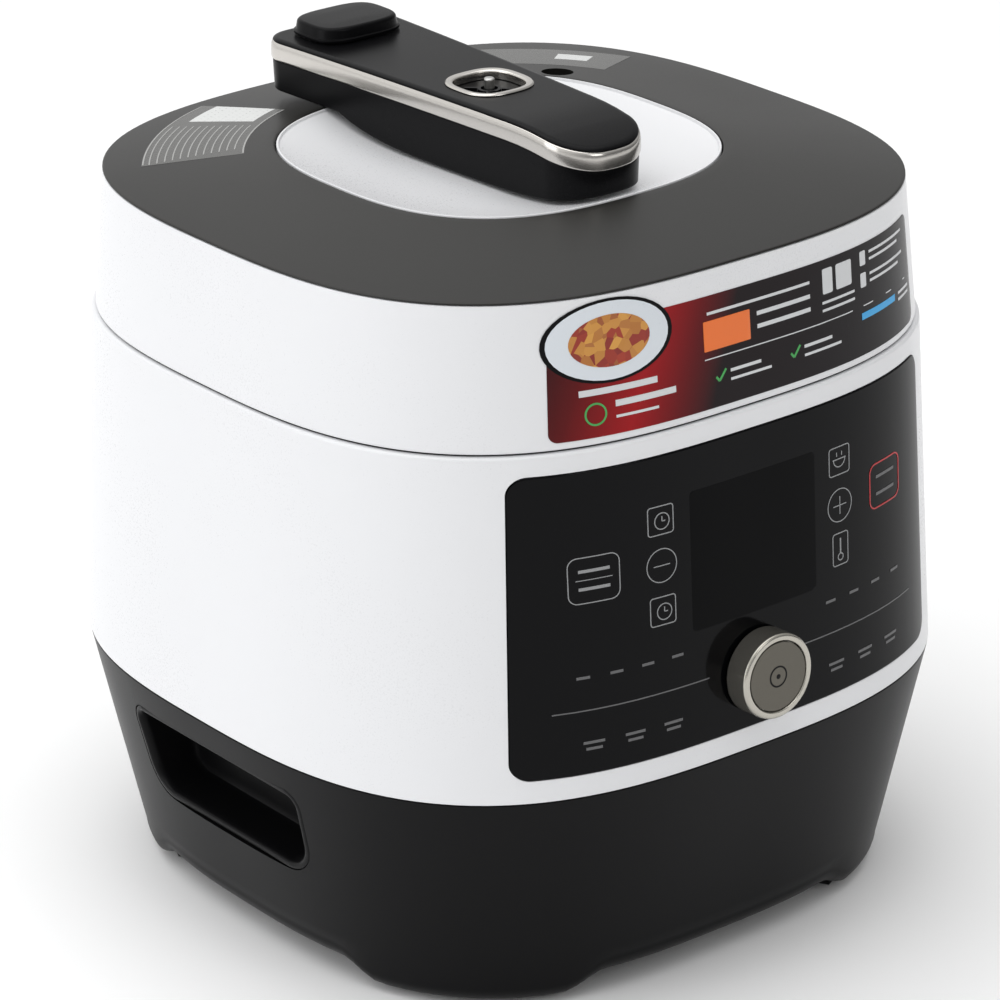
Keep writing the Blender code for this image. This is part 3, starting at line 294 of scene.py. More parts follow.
INK = new_ink("light_ink", (0.62, 0.63, 0.64))
MARK_INK = new_ink("mark_ink", (0.26, 0.265, 0.27))
MOULDED_INK = new_ink("moulded_ink", (0.030, 0.030, 0.031), 0.50)
FILM = new_material("grey_film", (0.085, 0.084, 0.080), 0.28, tint=0.05, bump=0.02, specular=0.4)
LIGHT_FILM = new_material("light_film", (0.62, 0.63, 0.62), 0.30, bump=0.02)
FILM_INK = new_ink("film_ink", (0.33, 0.33, 0.32), 0.40)
DIM_INK = new_ink("dim_ink", (0.10, 0.10, 0.103))
RED_INK = new_ink("red_ink", (0.45, 0.01, 0.015), 0.40)
ORANGE_INK = new_ink("orange_ink", (0.80, 0.16, 0.02), 0.35)
GREEN_INK = new_ink("green_ink", (0.05, 0.35, 0.08), 0.40)
BLUE_INK = new_ink("blue_ink", (0.03, 0.35, 0.70), 0.40)
PLATE_WHITE = new_material("plate_white", (0.66, 0.70, 0.74), 0.30, bump=0.01)
LABEL = label_material()
DAPPLE = dapple_material()


# ---------------------------------------------------------------- outlines and surfaces

def interpolate(value, stops):
    """Value on the broken line through the (position, result) stops."""
    for (low, first), (high, second) in zip(stops, stops[1:]):
        if value <= high or (high, second) == stops[-1]:
            share = (value - low) / (high - low)
            return tuple(p + (q - p) * share for p, q in zip(first, second))


def body_half(z):
    """Half sizes of the outside of the base and body at a height."""
    stops = (
        (FOOT_LEVEL, FOOT_HALF),
        (WAIST_LEVEL, WAIST_HALF),
        (SEAM_LEVEL, SEAM_HALF),
        (TOP_LEVEL, TOP_HALF),
    )
    return interpolate(z, stops)


def lid_half(z):
    """Half sizes of the lid, which is a little smaller than the body at the seam."""
    step = LID_STEP * (TOP_LEVEL - z) / (TOP_LEVEL - SEAM_LEVEL)
    return tuple(half - step for half in body_half(z))


def superellipse(half_x, half_y, z, power=OUTLINE_POWER, steps=SHELL_STEPS, centre=(0.0, 0.0)):
    """Ring of points, even in angle, from the front (-Y) anticlockwise."""
    ring = []
    for step in range(steps):
        angle = 2 * math.pi * step / steps - math.pi / 2
        along, across = math.cos(angle), math.sin(angle)
        reach = (abs(along / half_x) ** power + abs(across / half_y) ** power) ** (-1 / power)
        ring.append(Vector((centre[0] + reach * along, centre[1] + reach * across, z)))
    return ring


def circle(radius, z, steps=ROUND_STEPS, centre=(0.0, 0.0)):
    if radius == 0:
        return [Vector((centre[0], centre[1], z))]
    return superellipse(radius, radius, z, 2.0, steps, centre)


def blend_rings(first, second, share, z):
    return [Vector((*p.lerp(q, share).xy, z)) for p, q in zip(first, second)]


def fillet(corners, closed=True, arc_steps=4):
    """Points along (u, v, radius) corners with each corner turned into an arc."""
    points = []
    count = len(corners)
    for index, (u, v, radius) in enumerate(corners):
        here = Vector((u, v))
        at_end = not closed and index in (0, count - 1)
        if radius == 0 or at_end:
            points.append(here)
            continue
        back = (Vector(corners[index - 1][:2]) - here).normalized()
        ahead = (Vector(corners[(index + 1) % count][:2]) - here).normalized()
        half = back.angle(ahead) / 2
        middle = here + (back + ahead).normalized() * radius / math.sin(half)
        start = here + back * radius / math.tan(half) - middle
        end = here + ahead * radius / math.tan(half) - middle
        sweep = math.atan2(start.x * end.y - start.y * end.x, start.dot(end))
        for step in range(arc_steps + 1):
            points.append(middle + Matrix.Rotation(sweep * step / arc_steps, 2) @ start)
    return points


def rectangle(low_u, low_v, high_u, high_v, radius, arc_steps=6):
    corners = ((low_u, low_v), (high_u, low_v), (high_u, high_v), (low_u, high_v))
    return fillet([(*corner, radius) for corner in corners], True, arc_steps)


def wall_point(half, across, z, offset, side):
    """Point on a wall whose half sizes at a height are half(z). side is front, back, left or right."""
    first, second = half(z)
    if side in ("front", "back"):
        first, second = second, first
    reach = first * max(1 - abs(across / second) ** OUTLINE_POWER, 0.0) ** (1 / OUTLINE_POWER)
    grow = (abs(across) / second) ** (OUTLINE_POWER - 1) / second
    rise = (reach / first) ** (OUTLINE_POWER - 1) / first
    length = math.hypot(grow, rise)
    along = across + offset * math.copysign(grow, across) / length
    out = reach + offset * rise / length
    places = {"front": (along, -out), "back": (-along, out), "left": (-out, along), "right": (out, along)}
    return Vector((*places[side], z))


# ---------------------------------------------------------------- solids

def finish_piece(name, bm, material, body, replaced=(), slot=None, weighted=True, cuts=()):
    """Makes an object of the bmesh, rides it on a body, lets it stand for CAD nodes and cuts it."""
    bmesh.ops.recalc_face_normals(bm, faces=bm.faces)
    mesh = bpy.data.meshes.new(name)
    bm.to_mesh(mesh)
    bm.free()
    mesh.shade_smooth()
    mesh.set_sharp_from_angle(angle=SHARP_ANGLE)
    mesh.materials.append(material)
    item = bpy.data.objects.new(name, mesh)
    bpy.context.scene.collection.objects.link(item)
    if body:
        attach(item, body)
    if replaced:
        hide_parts(*replaced)
    for cut in cuts:
        cut_now(item, *cut)
    if weighted:
        modifier = item.modifiers.new("EvenShading", "WEIGHTED_NORMAL")
        modifier.keep_sharp = True
        modifier.weight = 60
    return item


def strip_cap(bm, ring):
    """Fills a ring that starts on the mirror plane with strips from side to side."""
    count = len(ring)
    for index in range(count // 2):
        corners = (ring[index], ring[index + 1], ring[count - index - 1], ring[-index])
        bm.faces.new(list(dict.fromkeys(corners)))


def skin(bm, rings, closed=False, cap="strip"):
    """Skins the rings in turn. closed joins the last to the first, otherwise both ends are filled."""
    made = [[bm.verts.new(point) for point in ring] for ring in rings]
    pairs = list(zip(made, made[1:]))
    if closed:
        pairs.append((made[-1], made[0]))
    for lower, upper in pairs:
        count = max(len(lower), len(upper))
        for step in range(count):
            after = (step + 1) % count
            corners = (
                lower[step % len(lower)],
                lower[after % len(lower)],
                upper[after % len(upper)],
                upper[step % len(upper)],
            )
            bm.faces.new(list(dict.fromkeys(corners)))
    if not closed:
        for end in (made[0], made[-1]):
            if len(end) > 2 and cap == "strip":
                strip_cap(bm, end)
            elif len(end) > 2:
                bm.faces.new(end)


def loft(name, rings, material, body, replaced=(), slot=None, closed=False, cap="strip", **options):
    bm = bmesh.new()
    skin(bm, rings, closed, cap)
    return finish_piece(name, bm, material, body, replaced, slot, **options)


def turned(name, profile, material, body, replaced=(), slot=None, steps=ROUND_STEPS, centre=(0.0, 0.0),
           closed=False, arc_steps=4):
    """Turns (radius, z, corner radius) points about a vertical axis."""
    points = fillet(profile, closed, arc_steps)
    rings = [circle(max(point.x, 0.0), point.y, steps, centre) for point in points]
    return loft(name, rings, material, body, replaced, slot, closed)


def band(name, profile, half, material, body, replaced, slot, cuts=()):
    """Wall that follows an outline half(z), its section given as (inset, z, corner radius)."""
    rings = []
    for inset, z in fillet(profile):
        half_x, half_y = half(z)
        rings.append(superellipse(half_x - inset, half_y - inset, z))
    return loft(name, rings, material, body, replaced, slot, closed=True, cuts=cuts)


def extruded(bm, outline, axis, low, high):
    place = {
        "X": lambda u, v, w: (w, u, v),
        "Y": lambda u, v, w: (u, w, v),
        "Z": lambda u, v, w: (u, v, w),
    }[axis]
    ends = [[bm.verts.new(place(*point, level)) for point in outline] for level in (low, high)]
    for end in ends:
        bm.faces.new(end)
    for step in range(len(outline)):
        after = (step + 1) % len(outline)
        bm.faces.new((ends[0][step], ends[0][after], ends[1][after], ends[1][step]))


def cut_now(item, outline, axis, low, high):
    """Cuts a prism out of a piece and applies the cut."""
    bm = bmesh.new()
    extruded(bm, outline, axis, low, high)
    bmesh.ops.recalc_face_normals(bm, faces=bm.faces)
    mesh = bpy.data.meshes.new("cutter")
    bm.to_mesh(mesh)
    bm.free()
    cutter = bpy.data.objects.new("cutter", mesh)
    bpy.context.scene.collection.objects.link(cutter)
    modifier = item.modifiers.new("Cut", "BOOLEAN")
    modifier.operation = "DIFFERENCE"
    modifier.solver = "EXACT"
    modifier.object = cutter
    bpy.context.view_layer.update()
    result = bpy.data.meshes.new_from_object(item.evaluated_get(bpy.context.evaluated_depsgraph_get()))
    item.modifiers.remove(modifier)
    bpy.data.objects.remove(cutter)
    item.data = result
    result.shade_smooth()
    result.set_sharp_from_angle(angle=SHARP_ANGLE)


def soften(item, width, segments=2):
    """Rounds the sharp edges of a CAD node that stays."""
    weld = item.modifiers.new("Join", "WELD")
    weld.merge_threshold = 0.00002
    bevel = item.modifiers.new("Edges", "BEVEL")
    bevel.width = width
    bevel.segments = segments
    bevel.limit_method = "ANGLE"
    bevel.angle_limit = SOFT_ANGLE
    bevel.use_clamp_overlap = True


# ---------------------------------------------------------------- patches and prints on a surface

def patch_outline(low_u, low_v, high_u, high_v, radius, columns, rows, inset=0.0):
    """Grid of (u, v) over a rounded rectangle, row by row, all rows with the same number of points."""
    middle_u, middle_v = (low_u + high_u) / 2, (low_v + high_v) / 2
    half_u, half_v = (high_u - low_u) / 2 - inset, (high_v - low_v) / 2 - inset
    corner = max(radius - inset, 1e-5)
    heights = []
    turns = 8
    for step in range(turns):
        heights.append(-half_v + corner * (1 - math.cos(math.pi / 2 * step / turns)))
    for step in range(rows + 1):
        heights.append(-(half_v - corner) + 2 * (half_v - corner) * step / rows)
    heights += [-height for height in reversed(heights[:turns])]
    grid = []
    for height in heights:
        over = max(abs(height) - (half_v - corner), 0.0)
        width = half_u - corner + math.sqrt(max(corner ** 2 - over ** 2, 0.0))
        row = [(middle_u + width * (2 * step / columns - 1), middle_v + height) for step in range(columns + 1)]
        grid.append(row)
    return grid


def border(grid):
    """The points round the edge of a grid, in order."""
    right = [row[-1] for row in grid[1:]]
    left = [row[0] for row in reversed(grid[1:-1])]
    return grid[0] + right + grid[-1][-2::-1] + left


def patch(bm, surface, shape, low, high, columns=48, rows=24, edge=0.0003):
    """Adds a plate that lies on a surface between two offsets, with a rounded front edge."""
    front = patch_outline(*shape, columns, rows, inset=edge)
    full = patch_outline(*shape, columns, rows)
    middle = patch_outline(*shape, columns, rows, inset=edge * 0.3)
    top = [[bm.verts.new(surface(u, v, high)) for u, v in row] for row in front]
    bottom = [[bm.verts.new(surface(u, v, low)) for u, v in row] for row in full]
    for sheet in (top, bottom):
        for lower, upper in zip(sheet, sheet[1:]):
            for index in range(columns):
                bm.faces.new((lower[index], lower[index + 1], upper[index + 1], upper[index]))
    fall = min(edge, high - low)
    loops = [border(top)]
    loops.append([bm.verts.new(surface(u, v, high - fall * 0.3)) for u, v in border(middle)])
    loops.append([bm.verts.new(surface(u, v, high - fall * 0.98)) for u, v in border(full)])
    loops.append(border(bottom))
    for first, second in zip(loops, loops[1:]):
        for index in range(len(first)):
            after = (index + 1) % len(first)
            bm.faces.new((first[index], first[after], second[after], second[index]))


def ribbon(bm, surface, path, width, low, high, closed=False):
    """Adds a flat line of the given width along (u, v) points, lying on a surface."""
    count = len(path)
    rings = []
    for index, point in enumerate(path):
        here = Vector(point)
        before = Vector(path[index - 1] if closed or index else point)
        after = Vector(path[(index + 1) % count] if closed or index < count - 1 else point)
        way = (after - before).normalized()
        side = Vector((-way.y, way.x)) * width / 2
        left, right = here + side, here - side
        rings.append([surface(*left, low), surface(*right, low), surface(*right, high), surface(*left, high)])
    skin(bm, rings, closed, cap="plain")


def arc_path(centre, radius, first=0.0, last=360.0, steps=40):
    """Points on an arc between two angles in degrees, without the last one on a full circle."""
    full = abs(last - first) >= 360
    count = steps if full else steps + 1
    angles = [math.radians(first + (last - first) * step / steps) for step in range(count)]
    return [(centre[0] + radius * math.cos(a), centre[1] + radius * math.sin(a)) for a in angles]


def line_path(start, end, steps=8):
    return [tuple(Vector(start).lerp(Vector(end), step / steps)) for step in range(steps + 1)]


def divided(outline, longest):
    """Closed outline with its long sides divided, so that it can follow a curved surface."""
    points = []
    for here, after in zip(outline, outline[1:] + outline[:1]):
        count = max(1, math.ceil((after - here).length / longest))
        points += [tuple(here.lerp(after, step / count)) for step in range(count)]
    return points


class Print:
    """A set of flat marks on one surface, made into one piece."""

    def __init__(self, surface, lift, height=PRINT_HEIGHT):
        self.bm = bmesh.new()
        self.surface = surface
        self.low, self.high = lift, lift + height

    def line(self, start, end, width):
        ribbon(self.bm, self.surface, line_path(start, end), width, self.low, self.high)

    def ring(self, centre, radius, width, first=0.0, last=360.0):
        closed = abs(last - first) >= 360
        ribbon(self.bm, self.surface, arc_path(centre, radius, first, last), width, self.low, self.high, closed)

    def frame(self, low_u, low_v, high_u, high_v, radius, width):
        outline = divided(rectangle(low_u, low_v, high_u, high_v, radius), 0.0020)
        ribbon(self.bm, self.surface, outline, width, self.low, self.high, True)

    def bars(self, rows):
        """Level lines given as (start, end, height, width)."""
        for start, end, height, width in rows:
            self.line((start, height), (end, height), width)

    def dot(self, centre, radius):
        self.ring(centre, radius / 2, radius)

    def block(self, low_u, low_v, high_u, high_v, radius=0.0003):
        shape = (low_u, low_v, high_u, high_v, radius)
        patch(self.bm, self.surface, shape, self.low, self.high, 12, 4, PRINT_HEIGHT / 2)

    def done(self, name, material, body, slot):
        return finish_piece(name, self.bm, material, body, slot=slot, weighted=False)


def panel_surface(u, v, offset):
    return wall_point(body_half, u, v, PANEL_PROUD + offset, "front")


def leaning_panel_surface(u, v, offset):
    """The panel's own surface: its sides lean in with those of the body."""
    share = (v - PANEL_LOW.z) / (PANEL_HIGH.z - PANEL_LOW.z)
    return panel_surface(u * (1 - PANEL_LEAN * share), v, offset)


def lid_front_surface(u, v, offset):
    return wall_point(lid_half, u, v, offset, "front")


def leaning_label_surface(u, v, offset):
    """The label's own surface: its ends lean out downwards with the sides of the lid."""
    return lid_front_surface(u * lid_half(v)[0] / lid_half(LABEL_TOP)[0], v, offset)


# ---------------------------------------------------------------- base

def smooth_share(value, low, high):
    share = min(max((value - low) / (high - low), 0.0), 1.0)
    return share * share * (3 - 2 * share)


def arched_ring(inset, lift):
    """Bottom ring of the base at the height of its arches and feet, plus lift."""
    ring = superellipse(FOOT_HALF[0] - inset, FOOT_HALF[1] - inset, 0.0)
    for point in ring:
        share = smooth_share(min(abs(point.x), abs(point.y)), ARCH_END, FOOT_START)
        point.z = ARCH_LEVEL + (CORNER_LEVEL - ARCH_LEVEL) * share + lift
    return ring


def wall_ring(z, inset):
    half_x, half_y = body_half(z)
    return superellipse(half_x - inset, half_y - inset, z)


def grip_outline(margin):
    """Mouth of the right carrying pocket: its front end leans and its bottom corners are rounder."""
    top, bottom = GRIP_HIGH.z + margin, GRIP_LOW.z - margin
    top_corner, bottom_corner = 0.008 + margin, 0.015 + margin
    corners = (
        (-0.0545 - margin, bottom, bottom_corner),
        (0.0500 + margin, bottom, bottom_corner),
        (0.0565 + margin, top, top_corner),
        (-0.0550 - margin, top, top_corner),
    )
    return fillet(corners, True, 8)


def inlet_outline(margin):
    left, bottom = INLET_LOW.x - margin, INLET_LOW.z - margin
    right, top = INLET_HIGH.x + margin, INLET_HIGH.z + margin
    return rectangle(left, bottom, right, top, INLET_CORNER + margin, 5)


def make_base():
    top, thick = HOUSING_HIGH.z, 0.0030
    radius, rise = LIP_INSET, 0.0085
    rings = [arched_ring(LIP_INSET + LIP_WIDTH, 0.0)]
    for step in range(8):
        turn = math.pi / 2 * step / 7
        rings.append(arched_ring(radius * (1 - math.sin(turn)), rise * (1 - math.cos(turn))))
    wall = (
        (0.022, 0.0), (top - 0.0006, 0.0), (top - 0.0002, 0.0002), (top, 0.0006), (top, WALL), (0.024, WALL),
    )
    rings += [wall_ring(*level) for level in wall]
    rings += [arched_ring(inset, thick) for inset in (LIP_INSET, LIP_INSET + LIP_WIDTH)]
    grip = grip_outline(GAP)
    cuts = (
        (grip, "X", -0.180, -0.100),
        (grip, "X", 0.100, 0.180),
        (inlet_outline(GAP), "Y", 0.100, 0.180),
    )
    loft("base_shell", rings, BLACK, "base", ("base_housing",), "satin_black", closed=True, cuts=cuts)


def recess(name, node, on_wall, at_depth, floor, mouth, back):
    """Open box let into a wall: its floor, its rounded mouth and its back, as (margin, level) rings."""
    rings = [at_depth(*level) for level in floor]
    rings += [on_wall(*level) for level in mouth]
    rings += [at_depth(*level) for level in back]
    loft(name, rings, BLACK, "base", (node,), "satin_black", cap="plain")


def make_grip(side):
    """Carrying pocket in one side of the base."""
    name = "right" if side > 0 else "left"

    def on_wall(margin, offset):
        return [wall_point(body_half, y, z, offset, name) for y, z in grip_outline(margin)]

    def at_depth(margin, level):
        return [Vector((side * (GRIP_FLOOR + level), y, z)) for y, z in grip_outline(margin)]

    floor = ((-0.0090, 0.0), (-0.0062, 0.0008), (-0.0050, 0.0030))
    mouth = (
        (-0.0036, -0.0040), (-0.0032, -0.0014), (-0.0024, -0.0003), (-0.0016, 0.0), (-0.0006, 0.0),
        (-0.0001, -0.0003), (0.0, -0.0010), (0.0, -0.0060),
    )
    back = ((-0.0016, 0.0020), (-0.0030, -0.0020))
    recess("carry_pocket_" + name, "grip_pocket_" + name, on_wall, at_depth, floor, mouth, back)


def make_inlet():
    """Mains socket in the back of the base."""

    def on_wall(margin, offset):
        return [wall_point(body_half, -x, z, offset, "back") for x, z in inlet_outline(margin)]

    def at_depth(margin, level):
        return [Vector((x, INLET_LOW.y + level, z)) for x, z in inlet_outline(margin)]

    floor = ((-0.0032, 0.0024), (-0.0026, 0.0030))
    mouth = (
        (-0.0025, -0.0010), (-0.0020, -0.0002), (-0.0014, 0.0), (-0.0004, 0.0), (0.0, -0.0006), (0.0, -0.0050),
    )
    back = ((-0.0001, 0.0024), (-0.0006, 0.0))
    recess("mains_socket", "power_inlet", on_wall, at_depth, floor, mouth, back)


# ---------------------------------------------------------------- body and panel

def make_body():
    low, high = SHELL_LOW.z, SHELL_HIGH.z + SEAM_CLOSING
    profile = (
        (0.0, low, 0.0004),
        (0.0, high, 0.0012),
        (WALL, high, 0.0004),
        (WALL, low, 0.0004),
    )
    low_half, high_half = PANEL_HIGH.x + GAP, PANEL_HIGH.x * (1 - PANEL_LEAN) + GAP
    low_z, high_z = PANEL_LOW.z - GAP, PANEL_HIGH.z + GAP
    ends = ((-low_half, low_z), (low_half, low_z), (high_half, high_z), (-high_half, high_z))
    hole = fillet([(x, z, PANEL_CORNER + GAP) for x, z in ends], True, 10)
    cuts = ((hole, "Y", -0.200, -0.080),)
    band("white_body", profile, body_half, WHITE, "base", ("body_shell",), "white_plastic", cuts)


def make_panel():
    bm = bmesh.new()
    shape = (PANEL_LOW.x, PANEL_LOW.z, PANEL_HIGH.x, PANEL_HIGH.z, PANEL_CORNER)
    patch(bm, leaning_panel_surface, shape, -0.0022, 0.0, 96, 40, 0.0004)
    finish_piece("glossy_panel", bm, GLOSS, "base", ("front_panel",), "gloss_black")
    bm = bmesh.new()
    patch(bm, panel_surface, DISPLAY_PATCH, -0.0002, 0.00004, 40, 20, 0.00003)
    finish_piece("display_window", bm, DISPLAY, "base", slot="gloss_black")


def clock_face(marks, centre, radius):
    marks.ring(centre, radius, 0.0004)
    marks.line(centre, (centre[0], centre[1] + radius * 0.6), 0.0004)
    marks.line(centre, (centre[0] + radius * 0.45, centre[1]), 0.0004)


def make_panel_prints():
    """Key outlines and simple symbols; plain dashes stand where legends would be."""
    marks = Print(panel_surface, PRINT_LIFT)
    line, fine = 0.00038, 0.0004
    left, right, middle = -0.0444, 0.0444, 0.1828
    marks.frame(-0.0824, 0.1746, -0.0624, 0.1926, 0.0035, line)
    marks.bars((
        (-0.0785, -0.0663, 0.1872, 0.0012),
        (-0.0785, -0.0663, 0.1802, 0.0012),
        (-0.0795, -0.0653, 0.1837, 0.0003),
    ))
    for centre in (left, right):
        marks.ring((centre, middle), 0.0066, line)
        marks.line((centre - 0.0036, middle), (centre + 0.0036, middle), line)
    marks.line((right, middle - 0.0036), (right, middle + 0.0036), line)
    half = 0.0056
    for height in (0.2007, 0.1648):
        marks.frame(left - half, height - half, left + half, height + half, 0.0012, fine)
        clock_face(marks, (left + 0.0006, height - 0.0004), 0.0032)
    marks.frame(right - half, 0.2009 - half, right + half, 0.2009 + half, 0.0012, fine)
    marks.ring((right, 0.2016), 0.0032, fine, 180, 360)
    marks.line((right - 0.0036, 0.2016), (right + 0.0036, 0.2016), fine)
    for shift in (-0.0014, 0.0014):
        marks.line((right + shift, 0.2028), (right + shift, 0.2044), fine)
    marks.frame(right - 0.0042, 0.1585, right + 0.0042, 0.1715, 0.0012, fine)
    marks.ring((right, 0.1618), 0.0014, fine)
    marks.line((right, 0.1634), (right, 0.1694), 0.0007)
    marks.done("panel_marks", MARK_INK, "base", "white_plastic")

    faint = Print(panel_surface, PRINT_LIFT)
    for side in (-1, 1):
        places = [side * (0.0385 + 0.0132 * step) for step in range(4)]
        faint.bars([(place - 0.0026, place + 0.0026, 0.1452, 0.0011) for place in places])
        faint.line((side * 0.0240, 0.1320), (side * 0.0900, 0.1320), 0.0005)
        for place in (side * 0.0412, side * 0.0580, side * 0.0748):
            faint.bars((
                (place - 0.0042, place + 0.0042, 0.1190, 0.0011),
                (place - 0.0032, place + 0.0032, 0.1165, 0.0011),
            ))
    faint.done("panel_dashes", DIM_INK, "base", "white_plastic")

    red = Print(panel_surface, PRINT_LIFT)
    red.frame(0.0624, 0.1746, 0.0824, 0.1926, 0.0035, 0.0006)
    red.done("start_outline", RED_INK, "base", "white_plastic")
    inner = Print(panel_surface, PRINT_LIFT)
    inner.bars([(0.0663, 0.0785, height, 0.0012) for height in (0.1872, 0.1802)])
    inner.done("start_dashes", DIM_INK, "base", "white_plastic")


def knob_matrix():
    """Place of the rotary control: its origin on the panel, its Z out along the axis."""
    axis = Vector(KNOB_JOINT["axis"])
    return Matrix.Translation(KNOB_JOINT["pos_m"]) @ axis.to_track_quat("Z", "Y").to_matrix().to_4x4()


def on_knob_axis(name, profile, material, replaced, slot):
    """Turned piece on the rotary control's tilted axis."""
    place = knob_matrix()
    points = fillet(profile, False, 5)
    rings = [[place @ point for point in circle(max(radius, 0.0), z)] for radius, z in points]
    loft(name, rings, material, "knob", replaced, slot)


def make_knob():
    radius, back, front = 0.0170, 0.0014, 0.0121
    barrel = (
        (0.0, 0.0088, 0),
        (0.0033, 0.0088, 0.0001),
        (0.0033, back, 0.0001),
        (radius, back, 0.0005),
        (radius, front, 0.0013),
        (radius - 0.0026, front, 0.0005),
        (radius - 0.0031, front - 0.0012, 0.0002),
        (0.0, front - 0.0012, 0),
    )
    on_knob_axis("knob_barrel", barrel, KNOB_CHROME, ("control_knob",), "chrome_trim")
    face = (
        (0.0, front - 0.0009, 0),
        (radius - 0.0033, front - 0.0009, 0.0001),
        (radius - 0.0033, front - 0.0003, 0.0002),
        (0.0, front - 0.0002, 0),
    )
    on_knob_axis("knob_disc", face, KNOB_METAL, ("knob_face",), "knob_face")
    place = knob_matrix()

    def face_surface(u, v, offset):
        return place @ Vector((u, v, front - 0.00025 + offset))

    marks = Print(face_surface, 0.0, 0.00008)
    marks.ring((0.0, 0.0), 0.0040, 0.0007)
    marks.dot((0.0, 0.0), 0.0010)
    marks.done("knob_mark", BLACK, "knob", "gloss_black")


# ---------------------------------------------------------------- lid

def make_lid():
    low, high = LID_LOW.z, LID_HIGH.z
    profile = (
        (0.0, low, 0.0010),
        (0.0, high, 0.0005),
        (0.0140, high, 0.0003),
        (0.0140, high - 0.0020, 0.0003),
        (0.0026, high - 0.0026, 0.0010),
        (0.0026, low, 0.0004),
    )
    band("white_lid", profile, lid_half, WHITE, "lid", ("lid_shell",), "white_plastic")


def dish_ring(share, z, inset=0.0):
    """Opening of the dark ring set in by inset, at a share of its size. The dish fills it but for a gap."""
    half_x = (DISH_HIGH.x + DISH_GAP - inset) * share
    half_y = ((DISH_HIGH.y - DISH_LOW.y) / 2 + DISH_GAP - inset) * share
    return superellipse(half_x, half_y, z, DISH_POWER, centre=(0.0, (DISH_HIGH.y + DISH_LOW.y) / 2))


def cover_height(share):
    """Height of the dark ring's dome from its outer edge (0) to the dish (1)."""
    return RING_EDGE + (COVER_HIGH.z - RING_EDGE) * share ** 0.9


def cover_surface(x, y, offset):
    """Point on the dark ring above (x, y)."""
    turn = math.atan2(y, x)
    along, across = math.cos(turn), math.sin(turn)

    def reach(half_x, half_y, power):
        return (abs(along / half_x) ** power + abs(across / half_y) ** power) ** (-1 / power)

    outer = reach(*TOP_HALF, OUTLINE_POWER)
    inner = reach(DISH_HIGH.x, DISH_HIGH.y, DISH_POWER)
    share = (outer - math.hypot(x, y)) / (outer - inner)
    return Vector((x, y, cover_height(min(max(share, 0.0), 1.0)) + offset))


def make_cover():
    outer = superellipse(*TOP_HALF, 0.0)
    inner = dish_ring(1.0, 0.0)
    low = COVER_LOW.z
    rings = [
        superellipse(TOP_HALF[0] - 0.0002, TOP_HALF[1] - 0.0002, low),
        superellipse(*TOP_HALF, low + 0.0002),
    ]
    for step in range(1, 6):
        turn = math.pi / 2 * step / 5
        inset = 0.0010 * (1 - math.cos(turn))
        height = low + 0.0002 + (cover_height(0.02) - low - 0.0002) * math.sin(turn)
        rings.append(superellipse(TOP_HALF[0] - inset, TOP_HALF[1] - inset, height))
    for step in range(1, 21):
        share = 0.02 + 0.965 * step / 20
        rings.append(blend_rings(outer, inner, share, cover_height(share)))
    rings.append(blend_rings(outer, inner, 0.996, cover_height(1.0) - 0.0003))
    rings.append(blend_rings(outer, inner, 1.0, cover_height(1.0) - 0.0010))
    rings += [blend_rings(outer, inner, share, low) for share in (1.0, 0.5)]
    floor = low + 0.0018
    cuts = ((arc_path(VENT_CENTRE, 0.0066, steps=48), "Z", floor, 0.310),)
    loft("ring_cover", rings, RING_GREY, "lid", ("lid_ring_cover",), "warm_grey", closed=True, cuts=cuts)
    liner = Print(lambda u, v, offset: Vector((u, v, floor + offset)), 0.00005, 0.0004)
    liner.dot(VENT_CENTRE, 0.0062)
    liner.done("vent_floor", BLACK, "lid", "satin_black")


def make_dish():
    """White bowl with a fine raised bead at its rim."""
    hole, thick, bead = 0.0206, 0.0020, 0.0004
    rim = DISH_HIGH.z
    inset = DISH_GAP

    def bowl(share):
        return DISH_FLOOR + (rim - DISH_FLOOR) * share ** 4

    rings = [dish_ring(1.0, rim - thick, inset), dish_ring(1.0, rim - bead, inset)]
    rings += [dish_ring(0.998, rim, inset), dish_ring(0.990, rim, inset)]
    for step in range(23):
        share = 0.984 - (0.984 - 0.44) * step / 22
        rings.append(dish_ring(share, bowl(share) - bead, inset))
    rings += [circle(hole, DISH_FLOOR, SHELL_STEPS), circle(hole, DISH_FLOOR - thick, SHELL_STEPS)]
    for share in (0.50, 0.65, 0.76, 0.85, 0.93):
        rings.append(dish_ring(share, bowl(share) - thick, inset))
    loft("white_dish", rings, WHITE, "lid", ("lid_dish",), "white_plastic", closed=True)


